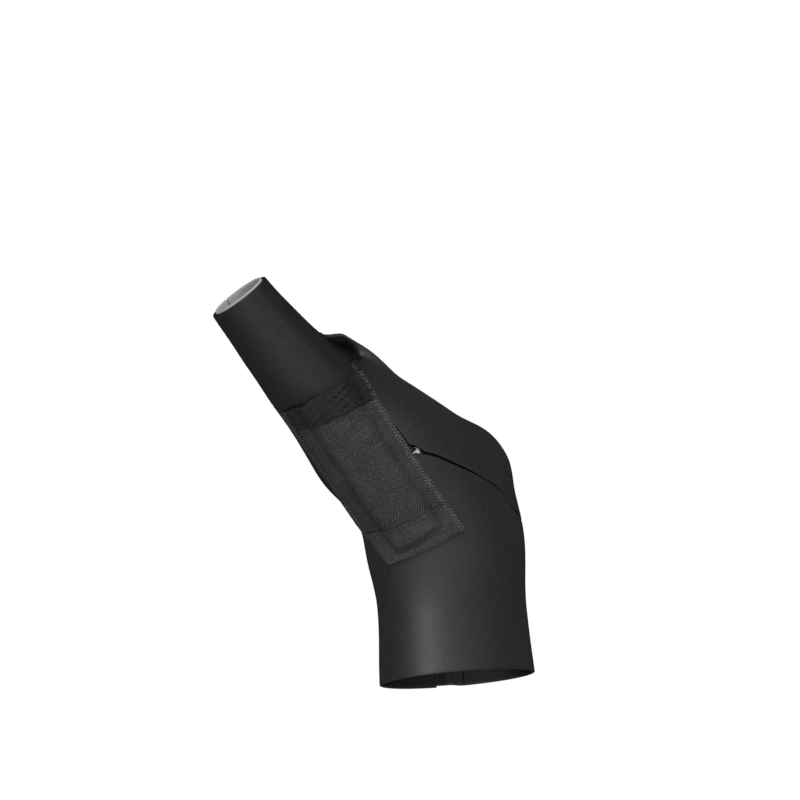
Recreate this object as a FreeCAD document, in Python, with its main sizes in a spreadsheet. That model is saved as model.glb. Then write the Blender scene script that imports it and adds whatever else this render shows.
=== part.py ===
import FreeCAD, Part
import math, os

# Thumb and wrist support brace, right hand, held in its worn shape.
# Frame: origin at the centre of the wrist band's lower opening, +Z up the forearm towards the hand.
# The dorsal-radial side of the wrist faces -Y, the thumb leans towards -X and -Y.
# Every fabric piece is a thin sheet that follows one body form (a forearm-hand tube blended with a thumb tube),
# lifted off it by its own layer height, so that layers never share space.

doc = FreeCAD.newDocument("thumb_wrist_brace")
sheet = doc.addObject("Spreadsheet::Sheet", "dims")

DIMS = [
    # laminate and layers
    ("lam_low", 0.10), ("lam_top", 1.50), ("seam_gap", 0.30), ("edge_gap", 0.35),
    ("lining_low", -0.55), ("lining_top", 0.0), ("lining_depth", 9.0), ("lining_proud", 0.9),
    ("backing_low", 1.60), ("backing_top", 2.00), ("cover_low", 2.15), ("cover_thick", 0.60),
    ("hem_gap", 0.14), ("hem_thick", 0.45), ("hem_depth", 8.5),
    ("thread_gap", 0.12), ("thread_thick", 0.30), ("thread_width", 2.4),
    ("loop_low", 1.58), ("loop_top", 1.98), ("hook_low", 2.12), ("hook_top", 2.90), ("tab_low", 3.00), ("tab_top", 4.40),
    # stay
    ("stay_length", 58.0), ("stay_width", 13.0), ("stay_thick", 1.10), ("stay_bow", 24.0), ("stay_corner", 5.0),
    ("cap_length", 7.0), ("cap_wall", 0.35), ("stay_clear", 0.22),
    # form blending
    ("blend", 20.0), ("turn_deg", 34.0), ("view_drop_deg", 11.0),
]
HAND = [  # z, half width radial-ulnar, half width dorsal-palmar, centre x, centre y
    (-20.0, 30.0, 21.2, -0.2, 0.0), (0.0, 28.7, 20.1, -0.1, 0.0), (30.0, 27.2, 19.2, 1.2, 0.0), (53.0, 28.4, 19.8, 0.9, 0.0),
    (75.0, 31.2, 20.0, -0.4, 0.5), (100.0, 36.0, 18.6, 3.0, 1.5), (125.0, 39.5, 16.8, 6.0, 2.5), (150.0, 41.0, 15.5, 8.0, 3.0),
]
THUMB = [  # across, along, depth, radius
    (27.0, 40.0, -2.0, 16.0), (25.5, 62.0, -9.0, 18.6), (23.6, 81.0, -17.5, 18.9), (21.6, 103.0, -28.0, 15.6),
    (19.7, 125.0, -36.3, 12.7), (18.9, 140.0, -41.8, 11.1), (18.5, 155.0, -47.0, 10.0), (18.5, 170.0, -52.5, 9.3),
]
row = 1
for name, value in DIMS:
    sheet.set("A%d" % row, name)
    sheet.set("B%d" % row, repr(value))
    sheet.setAlias("B%d" % row, name)
    row += 1
for i, st in enumerate(HAND):
    for key, value in zip(("height", "halfwide", "halfdeep", "centrex", "centrey"), st):
        sheet.set("B%d" % row, repr(value))
        sheet.setAlias("B%d" % row, "hand_%s_%d" % (key, i))
        row += 1
for i, st in enumerate(THUMB):
    for key, value in zip(("across", "along", "depth", "radius"), st):
        sheet.set("B%d" % row, repr(value))
        sheet.setAlias("B%d" % row, "thumb_%s_%d" % (key, i))
        row += 1
doc.recompute()


def dim(name):
    return float(sheet.get(name))


D = {name: dim(name) for name, _ in DIMS}
hand_st = [[dim("hand_%s_%d" % (k, i)) for k in ("height", "halfwide", "halfdeep", "centrex", "centrey")] for i in range(len(HAND))]
thumb_st = [[dim("thumb_%s_%d" % (k, i)) for k in ("across", "along", "depth", "radius")] for i in range(len(THUMB))]

# ---------------------------------------------------------------- body form
TURN = math.radians(D["turn_deg"])
ER = (math.cos(TURN), math.sin(TURN))          # towards the ulnar side
ED = (math.sin(TURN), -math.cos(TURN))         # towards the back of the hand
SD, CD = math.sin(math.radians(D["view_drop_deg"])), math.cos(math.radians(D["view_drop_deg"]))
CA, SA = 0.8712, 0.4909                         # cosine and sine of the thumb's lean in the facing plane


def hermite(xs, ys, x):
    n = len(xs)
    i = 0
    while i < n - 2 and x > xs[i + 1]:
        i += 1
    x0, x1 = xs[i], xs[i + 1]
    def slope(k):
        if k == 0:
            return (ys[1] - ys[0]) / (xs[1] - xs[0])
        if k == n - 1:
            return (ys[-1] - ys[-2]) / (xs[-1] - xs[-2])
        return (ys[k + 1] - ys[k - 1]) / (xs[k + 1] - xs[k - 1])
    h = x1 - x0
    t = (x - x0) / h
    if t < 0 or t > 1:
        k = i if t < 0 else i + 1
        return ys[k] + slope(k) * (x - xs[k])
    m0, m1 = slope(i) * h, slope(i + 1) * h
    t2, t3 = t * t, t * t * t
    return (2 * t3 - 3 * t2 + 1) * ys[i] + (t3 - 2 * t2 + t) * m0 + (-2 * t3 + 3 * t2) * ys[i + 1] + (t3 - t2) * m1


HZ = [s[0] for s in hand_st]
HCOL = [[s[k] for s in hand_st] for k in range(5)]
HTAB = []
for k in range(0, 401):
    z = -25.0 + k * 0.5
    HTAB.append([hermite(HZ, HCOL[c], z) for c in (1, 2, 3, 4)])


def hand_at(z):
    f = (z + 25.0) / 0.5
    f = max(0.0, min(399.999, f))
    i = int(f)
    t = f - i
    return [a + (b - a) * t for a, b in zip(HTAB[i], HTAB[i + 1])]


def from_face(x, v, y):
    """Point at facing-plane coordinates x (right), v (up) and depth y."""
    return (x, y, (v + SD * y) / CD)


AL = [s[1] for s in thumb_st]
NSEG = 60
TH = []
for k in range(NSEG + 1):
    al = AL[0] + (AL[-1] - AL[0]) * k / NSEG
    n = hermite(AL, [s[0] for s in thumb_st], al)
    y = hermite(AL, [s[2] for s in thumb_st], al)
    r = hermite(AL, [s[3] for s in thumb_st], al)
    p = from_face(CA * n - SA * al, SA * n + CA * al, y)
    TH.append((p[0], p[1], p[2], r, al))


def form(p):
    x, y, z = p
    a, b, cx, cy = hand_at(z)
    u = ((x - cx) * ER[0] + (y - cy) * ER[1])
    v = ((x - cx) * ED[0] + (y - cy) * ED[1])
    k0 = math.hypot(u / a, v / b)
    k1 = math.hypot(u / (a * a), v / (b * b))
    dh = k0 * (k0 - 1.0) / k1 if k1 > 1e-9 else -min(a, b)
    best = 1e9
    # nearest station first, then the segments beside it
    bi, bd = 0, 1e18
    for i in range(0, NSEG + 1, 4):
        q = TH[i]
        d = (x - q[0]) ** 2 + (y - q[1]) ** 2 + (z - q[2]) ** 2
        if d < bd:
            bi, bd = i, d
    for i in range(max(0, bi - 5), min(NSEG, bi + 5)):
        q, w = TH[i], TH[i + 1]
        ex, ey, ez = w[0] - q[0], w[1] - q[1], w[2] - q[2]
        t = ((x - q[0]) * ex + (y - q[1]) * ey + (z - q[2]) * ez) / (ex * ex + ey * ey + ez * ez)
        t = 0.0 if t < 0 else (1.0 if t > 1 else t)
        dx, dy, dz = x - q[0] - ex * t, y - q[1] - ey * t, z - q[2] - ez * t
        d = math.sqrt(dx * dx + dy * dy + dz * dz) - (q[3] + (w[3] - q[3]) * t)
        if d < best:
            best = d
    k = D["blend"]
    h = max(k - abs(dh - best), 0.0) / k
    return min(dh, best) - h * h * k * 0.25


def grad(p, e=0.25):
    x, y, z = p
    g = ((form((x + e, y, z)) - form((x - e, y, z))),
         (form((x, y + e, z)) - form((x, y - e, z))),
         (form((x, y, z + e)) - form((x, y, z - e))))
    m = math.sqrt(g[0] ** 2 + g[1] ** 2 + g[2] ** 2)
    return (g[0] / m, g[1] / m, g[2] / m), m / (2 * e)


def crossing(o, d, r0, r1, step, outward=True):
    """Distance along a ray where the form's surface is crossed."""
    r = r0
    last = r0
    s = 1.0 if outward else -1.0
    while r <= r1:
        if s * form((o[0] + d[0] * r, o[1] + d[1] * r, o[2] + d[2] * r)) > 0:
            lo, hi = last, r
            for _ in range(22):
                m = 0.5 * (lo + hi)
                if s * form((o[0] + d[0] * m, o[1] + d[1] * m, o[2] + d[2] * m)) > 0:
                    hi = m
                else:
                    lo = m
            return 0.5 * (lo + hi)
        last = r
        r += step
    return None


def on_wrist(phi_deg, z):
    """Skin point in direction phi about the forearm axis at height z."""
    c = hand_at(z)
    f = math.radians(phi_deg)
    d = (math.cos(f), math.sin(f), 0.0)
    r = crossing((c[2], c[3], z), d, 6.0, 110.0, 1.5)
    return (c[2] + d[0] * r, c[3] + d[1] * r, z)


def thumb_frame(al):
    f = (al - AL[0]) / (AL[-1] - AL[0]) * NSEG
    f = max(0.0, min(NSEG - 1e-6, f))
    i = int(f)
    t = f - i
    q, w = TH[i], TH[i + 1]
    c = [q[k] + (w[k] - q[k]) * t for k in range(3)]
    i0, i1 = max(0, i - 3), min(NSEG, i + 4)
    ax = [TH[i1][k] - TH[i0][k] for k in range(3)]
    m = math.sqrt(sum(v * v for v in ax))
    ax = [v / m for v in ax]
    n = [CA, 0.0, SA]
    dn = sum(n[k] * ax[k] for k in range(3))
    n = [n[k] - dn * ax[k] for k in range(3)]
    m = math.sqrt(sum(v * v for v in n))
    n = [v / m for v in n]
    v = [ax[1] * n[2] - ax[2] * n[1], ax[2] * n[0] - ax[0] * n[2], ax[0] * n[1] - ax[1] * n[0]]
    if v[1] > 0:
        v = [-c_ for c_ in v]
    return c, ax, n, v


def on_thumb(psi_deg, al):
    """Skin point in direction psi about the thumb axis at station al. psi 0 faces the hand, 90 faces -Y."""
    c, ax, n, v = thumb_frame(al)
    f = math.radians(psi_deg)
    d = [math.cos(f) * n[k] + math.sin(f) * v[k] for k in range(3)]
    r = crossing(c, d, 3.0, 90.0, 1.2)
    return tuple(c[k] + d[k] * r for k in range(3))


def on_face(x, v):
    """Skin point seen at facing-plane coordinates x, v from the -Y side."""
    o = from_face(x, v, -120.0)
    d = (0.0, CD, SD)
    r = crossing(o, d, 0.0, 200.0, 1.2, outward=False)
    if r is None:                       # grazing: take the nearest approach and settle it on the skin
        r = min((form((o[0] + d[0] * q, o[1] + d[1] * q, o[2] + d[2] * q)), q) for q in [i * 0.5 for i in range(400)])[1]
        p = (o[0] + d[0] * r, o[1] + d[1] * r, o[2] + d[2] * r)
        for _ in range(6):
            g, m = grad(p)
            f = form(p) / m
            p = (p[0] - g[0] * f, p[1] - g[1] * f, p[2] - g[2] * f)
        return p
    return (o[0] + d[0] * r, o[1] + d[1] * r, o[2] + d[2] * r)


def wrist_coords(p):
    c = hand_at(p[2])
    return math.degrees(math.atan2(p[1] - c[3], p[0] - c[2])) % 360.0, p[2]


def thumb_coords(p):
    best = None
    for k in range(0, 401):
        al = 60.0 + k * 0.25
        c, ax, n, v = thumb_frame(al)
        s = sum((p[i] - c[i]) * ax[i] for i in range(3))
        if best is None or abs(s) < best[0]:
            best = (abs(s), al, c, n, v)
    _, al, c, n, v = best
    return math.degrees(math.atan2(sum((p[i] - c[i]) * v[i] for i in range(3)), sum((p[i] - c[i]) * n[i] for i in range(3)))), al


def lift(p, h):
    n, _ = grad(p)
    return (p[0] + n[0] * h, p[1] + n[1] * h, p[2] + n[2] * h)


def face_xy(n, al):
    return CA * n - SA * al, SA * n + CA * al


# ---------------------------------------------------------------- sheet solids
def vec(p):
    return FreeCAD.Vector(p[0], p[1], p[2])


def sheet_solid(skin, low, top, low_fn=None, top_fn=None):
    """A closed sheet between two lifted copies of a grid of skin points. low and top are heights, or functions of (i, j, p, n)."""
    lo, hi = [], []
    for i, col in enumerate(skin):
        a, b = [], []
        for j, p in enumerate(col):
            n, _ = grad(p)
            hl = low_fn(i, j, p, n) if low_fn else low
            ht = top_fn(i, j, p, n) if top_fn else top
            a.append(FreeCAD.Vector(p[0] + n[0] * hl, p[1] + n[1] * hl, p[2] + n[2] * hl))
            b.append(FreeCAD.Vector(p[0] + n[0] * ht, p[1] + n[1] * ht, p[2] + n[2] * ht))
        lo.append(a)
        hi.append(b)
    return grids_solid(lo, hi)


def spline_poles(pts):
    """Control points of a curve with continuous tangents through evenly timed points."""
    n = len(pts) - 1
    tan = []
    for i in range(n + 1):
        if n == 1:
            t = pts[1] - pts[0]
        elif i == 0:
            t = pts[0] * -1.5 + pts[1] * 2.0 - pts[2] * 0.5
        elif i == n:
            t = pts[n] * 1.5 - pts[n - 1] * 2.0 + pts[n - 2] * 0.5
        else:
            t = (pts[i + 1] - pts[i - 1]) * 0.5
        tan.append(t)
    out = [pts[0]]
    for i in range(n):
        out += [pts[i] + tan[i] * (1 / 3.0), pts[i + 1] - tan[i + 1] * (1 / 3.0)]
    return out + [pts[n]]


def smooth_surface(grid):
    rows = [spline_poles(r) for r in grid]
    cols = [spline_poles([rows[i][j] for i in range(len(rows))]) for j in range(len(rows[0]))]
    poles = [[cols[j][i] for j in range(len(cols))] for i in range(len(cols[0]))]
    nu, nv = len(grid) - 1, len(grid[0]) - 1
    s = Part.BSplineSurface()
    s.buildFromPolesMultsKnots(poles, [4] + [2] * (nu - 1) + [4], [4] + [2] * (nv - 1) + [4],
                               [float(k) for k in range(nu + 1)], [float(k) for k in range(nv + 1)], False, False, 3, 3)
    return s


def edge_face(s1, s2, side):
    """Straight side face between the same edge of two sheets."""
    a, b = [], []
    nu, nv = s1.NbUPoles, s1.NbVPoles
    for s, out in ((s1, a), (s2, b)):
        if side in ("u0", "u1"):
            out += [s.getPole(1 if side == "u0" else nu, k + 1) for k in range(nv)]
        else:
            out += [s.getPole(k + 1, 1 if side == "v0" else nv) for k in range(nu)]
    if side in ("u0", "u1"):
        mults, knots = s1.getVMultiplicities(), s1.getVKnots()
    else:
        mults, knots = s1.getUMultiplicities(), s1.getUKnots()
    f = Part.BSplineSurface()
    f.buildFromPolesMultsKnots([a, b], [2, 2], mults, [0.0, 1.0], knots, False, False, 1, 3)
    return f.toShape()


def grids_solid(lo, hi):
    s1, s2 = smooth_surface(lo), smooth_surface(hi)
    faces = [s1.toShape(), s2.toShape()] + [edge_face(s1, s2, k) for k in ("u0", "u1", "v0", "v1")]
    sh = Part.makeShell(faces)
    sh.sewShape(0.001) if hasattr(sh, "sewShape") else None
    if not sh.isClosed():
        sh = Part.Shell(Part.makeCompound(faces).Faces)
        sh.sewShape()
    sol = Part.makeSolid(sh)
    if sol.Volume < 0:
        sol.reverse()
    return sol


def lerp(a, b, t):
    return a + (b - a) * t


def table(xs, ys, x):
    return hermite(xs, ys, max(xs[0], min(xs[-1], x)))


made = []


def add(label, shape):
    o = doc.addObject("Part::Feature", label)
    o.Label = label
    o.Shape = shape
    made.append(o)
    return o


def sub(a, b):
    return [a[k] - b[k] for k in range(3)]


def unit(a):
    m = math.sqrt(sum(v * v for v in a))
    return [v / m for v in a]


def cross(a, b):
    return [a[1] * b[2] - a[2] * b[1], a[2] * b[0] - a[0] * b[2], a[0] * b[1] - a[1] * b[0]]


def dot(a, b):
    return sum(a[k] * b[k] for k in range(3))


# ---------------------------------------------------------------- outlines on the form
# Slit between the hand strap and the wrist band on the back of the wrist, from the pocket edge to the ulnar side.
SLIT_FACE = [(-6.2, 82.4), (1.0, 79.8), (7.9, 75.6), (16.1, 70.2), (22.2, 64.6), (26.2, 57.0)]
# Upper edge of the hand strap, from the thumb web over the back of the hand to the ulnar side.
TOP_FACE = [(-31.5, 126.0), (-25.5, 126.6), (-19.6, 122.6), (-7.3, 108.0), (8.6, 94.6), (21.0, 85.6), (26.6, 75.5)]
# The crease where the thumb sleeve turns into the hand strap: web, pocket corner, slit.
CREASE_FACE = [(-31.5, 126.0), (-28.6, 121.0), (-24.2, 114.2), (-15.4, 98.4), (-6.2, 82.4)]
BASE_AL, TOP_AL = 77.0, 155.0


def polyline(points, t):
    """Point at share t of a curved line's length."""
    xs = [0.0]
    for p, q in zip(points, points[1:]):
        xs.append(xs[-1] + math.sqrt(sum((p[k] - q[k]) ** 2 for k in range(len(p)))))
    xs = [x / xs[-1] for x in xs]
    return tuple(hermite(xs, [p[k] for p in points], t) for k in range(len(points[0])))


def unwrap(points, start):
    out = []
    last = start
    for f, z in points:
        while f < last - 180:
            f += 360
        while f > last + 180:
            f -= 360
        out.append((f, z))
        last = f
    return out


crease3 = [on_face(x, v) for x, v in CREASE_FACE]
crease_t = [thumb_coords(p) for p in crease3]
crease_w = unwrap([wrist_coords(p) for p in crease3], 214.0)
WEB_PSI = -30.0                      # direction from the thumb axis to the hand: the crease is even about it
crease_q = [(abs(q - WEB_PSI), al) for q, al in crease_t]
palm3 = [on_thumb(WEB_PSI - (q - WEB_PSI), al) for q, al in crease_t]
palm_w = unwrap([wrist_coords(p) for p in palm3], 214.0)
slit_w = unwrap([wrist_coords(on_face(x, v)) for x, v in SLIT_FACE], 260.0)
top_w = unwrap([wrist_coords(on_face(x, v)) for x, v in TOP_FACE], 214.0)
# hidden side, through the ulnar side (394) to the palm (484)
slit_w += [(372.0, 53.5), (400.0, 51.2), (430.0, 50.0), (462.0, 49.8), (500.0, 50.5)]
top_w = top_w[2:] + [(378.0, 69.5), (392.0, 67.0), (420.0, 65.0), (455.0, 65.5), (484.0, 66.5), (505.0, 67.0)]


def sleeve_base(psi):
    """Station of the sleeve's lower edge in direction psi."""
    q = abs((psi - WEB_PSI + 180.0) % 360.0 - 180.0)
    if q <= crease_q[0][0]:
        return crease_q[0][1] + 0.8 * (1 - (q / crease_q[0][0]) ** 2)
    for (q0, a0), (q1, a1) in zip(crease_q, crease_q[1:]):
        if q <= q1:
            return lerp(a0, a1, (q - q0) / (q1 - q0))
    return lerp(crease_q[-1][1], BASE_AL, min(1.0, (q - crease_q[-1][0]) / 60.0))


def curve_z(points, phi):
    xs = [p[0] for p in points]
    zs = [p[1] for p in points]
    phi = max(xs[0], min(xs[-1], phi))
    return hermite(xs, zs, phi)


web3 = on_thumb(WEB_PSI, sleeve_base(WEB_PSI) - 0.2)
W = wrist_coords(web3)
S, SP = slit_w[0], palm_w[-1]
crease_line = [S] + list(reversed(crease_w[1:-1])) + [(W[0] + 0.4, W[1])]
palm_line = [SP] + list(reversed(palm_w[1:-1])) + [(W[0] - 0.4, W[1])]
top_w = [(W[0] + 0.4, W[1])] + top_w


def in_thumb(line):
    return [thumb_coords(on_wrist(*polyline(line, k / 30.0))) for k in range(31)]


base_line = in_thumb(palm_line) + list(reversed(in_thumb(crease_line)))      # direction, station: hidden side, web, facing side
base_line = sorted(base_line)
PSI0, PSI1 = base_line[0][0], base_line[-1][0]


def sleeve_edge(psi):
    """Station of the sleeve's lower edge, true to the crease lines, and level below the thumb."""
    while psi < PSI0:
        psi += 360.0
    while psi >= PSI0 + 360.0:
        psi -= 360.0
    if psi <= PSI1:
        for (q0, a0), (q1, a1) in zip(base_line, base_line[1:]):
            if psi <= q1:
                return lerp(a0, a1, (psi - q0) / max(1e-6, q1 - q0))
    q = min(psi - PSI1, PSI0 + 360.0 - psi)
    end = base_line[-1][1] if psi - PSI1 < PSI0 + 360.0 - psi else base_line[0][1]
    t = min(1.0, q / 60.0)
    return lerp(end, BASE_AL, t * t * (3 - 2 * t))


STRAP_END, PANEL_END, TAB_END = 440.0, 92.5, 500.0
BAND_START, BAND_END, BAND_TAB_END = 112.0, 456.0, 528.0
palm_slit = [(PANEL_END, 50.2), (112.0, 51.5), (130.0, 55.5), (150.0, 63.5), (165.0, 71.8), (SP[0], SP[1])]
palm_top = [(PANEL_END, 66.0), (112.0, 68.0), (130.0, 72.5), (150.0, 81.0), (170.0, 93.0), (190.0, 108.0), (205.0, 119.0), (W[0] - 0.4, W[1])]


def fan_w(bottom, top, left, ns, nt):
    """Skin grid in wrist coordinates: straight columns from the bottom line to the top line, and a shaped first column."""
    grid = []
    for i in range(ns + 1):
        a = i / float(ns)
        fade = (1 - a) ** 6
        p0, p1 = bottom(a ** 1.25), top(a ** 0.85)
        col = []
        for j in range(nt + 1):
            b = j / float(nt)
            q = left(b)
            pt = [lerp(p0[k], p1[k], b) + fade * (q[k] - lerp(left(0)[k], left(1)[k], b)) for k in (0, 1)]
            col.append(on_wrist(pt[0], pt[1]))
        grid.append(col)
    return grid


GAP = D["edge_gap"]
# ---------------------------------------------------------------- thumb sleeve
SEAM = -112.0
sleeve = []
NPSI, NAL = 48, 14
psis = [SEAM + 0.6 + (360.0 - 1.2) * i / NPSI for i in range(NPSI + 1)]
for psi in psis:
    base = sleeve_edge(psi) + 2 * GAP
    sleeve.append([on_thumb(psi, lerp(base, TOP_AL, j / float(NAL))) for j in range(NAL + 1)])
sleeve_shape = sheet_solid(sleeve, D["lam_low"], D["lam_top"])
lining = []
for i in range(36 + 1):
    psi = SEAM + 1.2 + (360.0 - 2.4) * i / 36
    lining.append([on_thumb(psi, lerp(TOP_AL - D["lining_depth"], TOP_AL + D["lining_proud"], j / 4.0)) for j in range(5)])
add("thumb_opening_lining", sheet_solid(lining, D["lining_low"], D["lining_top"]))
# tape over the butt seam, outside
tape = []
for i in range(5):
    psi = SEAM - 6.0 + 12.0 * i / 4
    tape.append([on_thumb(psi, lerp(sleeve_edge(SEAM) + 5.0, TOP_AL - 1.5, j / 14.0)) for j in range(15)])
add("sleeve_seam_tape", sheet_solid(tape, 1.68, 2.05))

# ---------------------------------------------------------------- hand strap and palm panel
NC, NR = 12, 28                                               # columns along the crease, then along the slit
down_crease = list(reversed(crease_line))
strap = []
for i in range(NC + NR + 1):
    if i <= NC:
        low_end = polyline(down_crease, lerp(0.06, 1.0, i / float(NC)))
    else:
        f = lerp(S[0], STRAP_END, (i - NC) / float(NR))
        low_end = (f, curve_z(slit_w, f) + 0.2)
    f = table([0, NC, NC + NR], [W[0] + 3.2, S[0] + 14.0, STRAP_END], i)
    high_end = (f, curve_z(top_w, f))
    strap.append([on_wrist(lerp(low_end[0], high_end[0], j / 10.0), lerp(low_end[1], high_end[1], j / 10.0)) for j in range(11)])
add("hand_strap", sheet_solid(strap, D["lam_low"], D["lam_top"]))


def widened(grid, by):
    """The grid with its lower row moved outward by a distance, and its second row kept."""
    out = []
    for c in grid:
        e = unit([c[0][k] - c[1][k] for k in range(3)])
        q = [c[0][k] + e[k] * by for k in range(3)]
        g, m = grad(q)
        f = form(q) / m
        out.append([tuple(q[k] - g[k] * f for k in range(3))] + c[1:])
    return out


panel = fan_w(lambda a: (lerp(SP[0], PANEL_END, a), curve_z(palm_slit, lerp(SP[0], PANEL_END, a)) + 0.2),
                lambda a: (lerp(W[0] - 0.4, PANEL_END, a), curve_z(palm_top, lerp(W[0] - 0.4, PANEL_END, a))),
              lambda b: polyline(palm_line, b), 24, 10)
add("palm_panel", sheet_solid(panel, D["lam_low"], D["lam_top"]))
# the sleeve's lower edge is trimmed to the pieces it meets
keep_off = [sheet_solid(widened(strap[:NC + 3], GAP), -2.0, 4.0),
            sheet_solid(widened([[panel[i][j] for i in range(13)] for j in range(len(panel[0]))], GAP), -2.0, 4.0)]

# ---------------------------------------------------------------- wrist band
under = unwrap([wrist_coords(on_thumb(lerp(PSI0 + 359.9, PSI1 + 0.1, k / 40.0), sleeve_edge(lerp(PSI0 + 359.9, PSI1 + 0.1, k / 40.0)))) for k in range(41)], 178.0)


def band_edge(f):
    """Height of the band's upper edge in direction f: below the palm panel, the sleeve, then the strap."""
    if f <= SP[0]:
        return curve_z(palm_slit, f) - 0.45
    if f >= S[0]:
        return curve_z(slit_w, f) - 0.45 - 0.6 * max(0.0, 1.0 - (f - S[0]) / 14.0)
    for (f0, z0), (f1, z1) in zip(under, under[1:]):
        if f <= f1:
            return lerp(z0, z1, max(0.0, (f - f0) / max(1e-6, f1 - f0))) - 0.45 - 0.6 * max(0.0, 1.0 - (S[0] - f) / 14.0)
    return under[-1][1] - 1.05


stops = [(BAND_START, 12), (SP[0], 16), (S[0], 34), (BAND_END, 0)]
phis = []
for (f0, k), (f1, _) in zip(stops, stops[1:]):
    phis += [lerp(f0, f1, i / float(k)) for i in range(k)]
phis.append(BAND_END)
band = []
for f in phis:
    band.append([on_wrist(f, lerp(-1.5, band_edge(f), j / 10.0)) for j in range(11)])
band_shape = sheet_solid(band, D["lam_low"], D["lam_top"])
band_shape = band_shape.cut(Part.makeBox(200, 200, 20, FreeCAD.Vector(-100, -100, -20)))
add("wrist_band", band_shape.Solids[0])
keep_off.append(sheet_solid(widened([list(reversed(c))[:4] for c in band[10:36]], GAP), -2.0, 4.0))
sleeve_shape = sleeve_shape.cut(Part.makeCompound(keep_off))
sleeve_shape = max(sleeve_shape.Solids, key=lambda q: q.Volume)
add("thumb_sleeve", sleeve_shape)


def ramp(f, f0, f1):
    t = max(0.0, min(1.0, (f - f0) / (f1 - f0)))
    return t * t * (3 - 2 * t)


def tab_sheet(f0, f1, zb, zt, ni, nj, rise):
    """A strap's free end: its root lies in the laminate's own layer and rises over the piece it closes on."""
    g = []
    for i in range(ni + 1):
        f = lerp(f0, f1, i / float(ni))
        g.append([on_wrist(f, lerp(zb(f), zt(f), j / float(nj))) for j in range(nj + 1)])
    k = D["tab_low"] - D["lam_low"]
    thick = D["lam_top"] - D["lam_low"]
    def low(i, j, p, n):
        return D["lam_low"] + k * ramp(lerp(f0, f1, i / float(ni)), f0 + 0.5, f0 + rise)
    def top(i, j, p, n):
        return low(i, j, p, n) + thick
    return sheet_solid(g, 0, 0, low, top)


def patch_w(f0, f1, zb, zt, ni, nj, low, top):
    g = []
    for i in range(ni + 1):
        f = lerp(f0, f1, i / float(ni))
        g.append([on_wrist(f, lerp(zb(f), zt(f), j / float(nj))) for j in range(nj + 1)])
    return sheet_solid(g, low, top)


sb = lambda f: curve_z(slit_w, f) + 0.2 + 1.2 * ramp(f, STRAP_END, TAB_END)
stp = lambda f: curve_z(top_w, f) - 0.6 * ramp(f, STRAP_END, TAB_END)
add("hand_strap_tab", tab_sheet(STRAP_END + 0.7, TAB_END, sb, stp, 16, 6, 9.5))
add("hand_strap_hook", patch_w(TAB_END - 36, TAB_END - 3, lambda f: sb(f) + 1.6, lambda f: stp(f) - 1.6, 8, 5, D["hook_low"], D["hook_top"]))
add("palm_panel_loop", patch_w(TAB_END - 39, TAB_END + 3, lambda f: sb(f) + 0.9, lambda f: stp(f) - 0.9, 8, 5, D["loop_low"], D["loop_top"]))
bb = lambda f: 1.2 + 3.0 * ramp(f, BAND_END, BAND_TAB_END)
bt = lambda f: 48.2 - 4.5 * ramp(f, BAND_END, BAND_TAB_END)
add("wrist_band_tab", tab_sheet(BAND_END + 0.7, BAND_TAB_END, bb, bt, 20, 8, 12.0))
add("wrist_band_hook", patch_w(BAND_TAB_END - 38, BAND_TAB_END - 3, lambda f: bb(f) + 2.5, lambda f: bt(f) - 2.5, 10, 6, D["hook_low"], D["hook_top"]))
add("wrist_band_loop", patch_w(BAND_TAB_END - 41, BAND_TAB_END + 4, lambda f: bb(f) + 1.5, lambda f: bt(f) - 1.5, 10, 6, D["loop_low"], D["loop_top"]))

# ---------------------------------------------------------------- stay and its pocket
TOPP, BOTP = on_face(*face_xy(21.3, 110.0)), on_face(*face_xy(19.4, 50.0))
AX = unit(sub(TOPP, BOTP))                                   # along the pocket, towards the thumb
view = [0.0, -CD, -SD]
NS = unit([view[k] - dot(view, AX) * AX[k] for k in range(3)])   # out of the pocket
WS = cross(AX, NS)                                           # across the pocket
if WS[0] < 0:
    WS = [-v for v in WS]
MID = [(TOPP[k] + BOTP[k]) / 2 for k in range(3)]
HALF_L, HALF_W = 33.0, 13.7


def on_stay(w, l, out=None, across=None):
    """Skin point below pocket coordinates w (across) and l (along)."""
    out, across = out or NS, across or WS
    o = [MID[k] + across[k] * w + AX[k] * l + out[k] * 60.0 for k in range(3)]
    d = [-v for v in out]
    r = crossing(o, d, 0.0, 120.0, 1.0, outward=False)
    return None if r is None else tuple(o[k] + d[k] * r for k in range(3))


def bow(w):
    R = D["stay_bow"]
    return math.sqrt(max(0.0, R * R - w * w)) - R


SW, SL, STH, CW = D["stay_width"], D["stay_length"], D["stay_thick"], D["cap_wall"]
# the stay lies on the mean slope of the skin under it
acc = [0.0, 0.0, 0.0]
for l in (-26, -13, 0, 13, 26):
    for w in (-6.0, 0.0, 6.0):
        n = grad(on_stay(w, l))[0]
        acc = [acc[k] + n[k] for k in range(3)]
N2 = unit([acc[k] - dot(acc, AX) * AX[k] for k in range(3)])
W2 = cross(AX, N2)
if dot(W2, WS) < 0:
    W2 = [-v for v in W2]
need = -1e9
for i in range(9):
    for j in range(17):
        w, l = lerp(-SW / 2 - 0.6, SW / 2 + 0.6, i / 8.0), lerp(-SL / 2, SL / 2, j / 16.0)
        q = lift(on_stay(w, l, N2, W2), D["backing_top"])
        need = max(need, dot(sub(q, MID), N2) - bow(w))
STAY_LOW = need + CW + D["stay_clear"]                      # height of the stay's underside at its crown
worst = 1e9
for s_ in range(0, 70, 6):
    for i in range(5):
        for j in range(9):
            w, l = lerp(-SW / 2 - 0.6, SW / 2 + 0.6, i / 4.0), lerp(-SL / 2, SL / 2, j / 8.0) + s_
            p = on_stay(w, l, N2, W2)
            if p is None or thumb_coords(p)[1] > TOP_AL + 1:
                continue
            h = dot(sub(lift(p, D["lam_top"]), MID), N2)
            worst = min(worst, STAY_LOW - CW + bow(w) - h)
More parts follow.
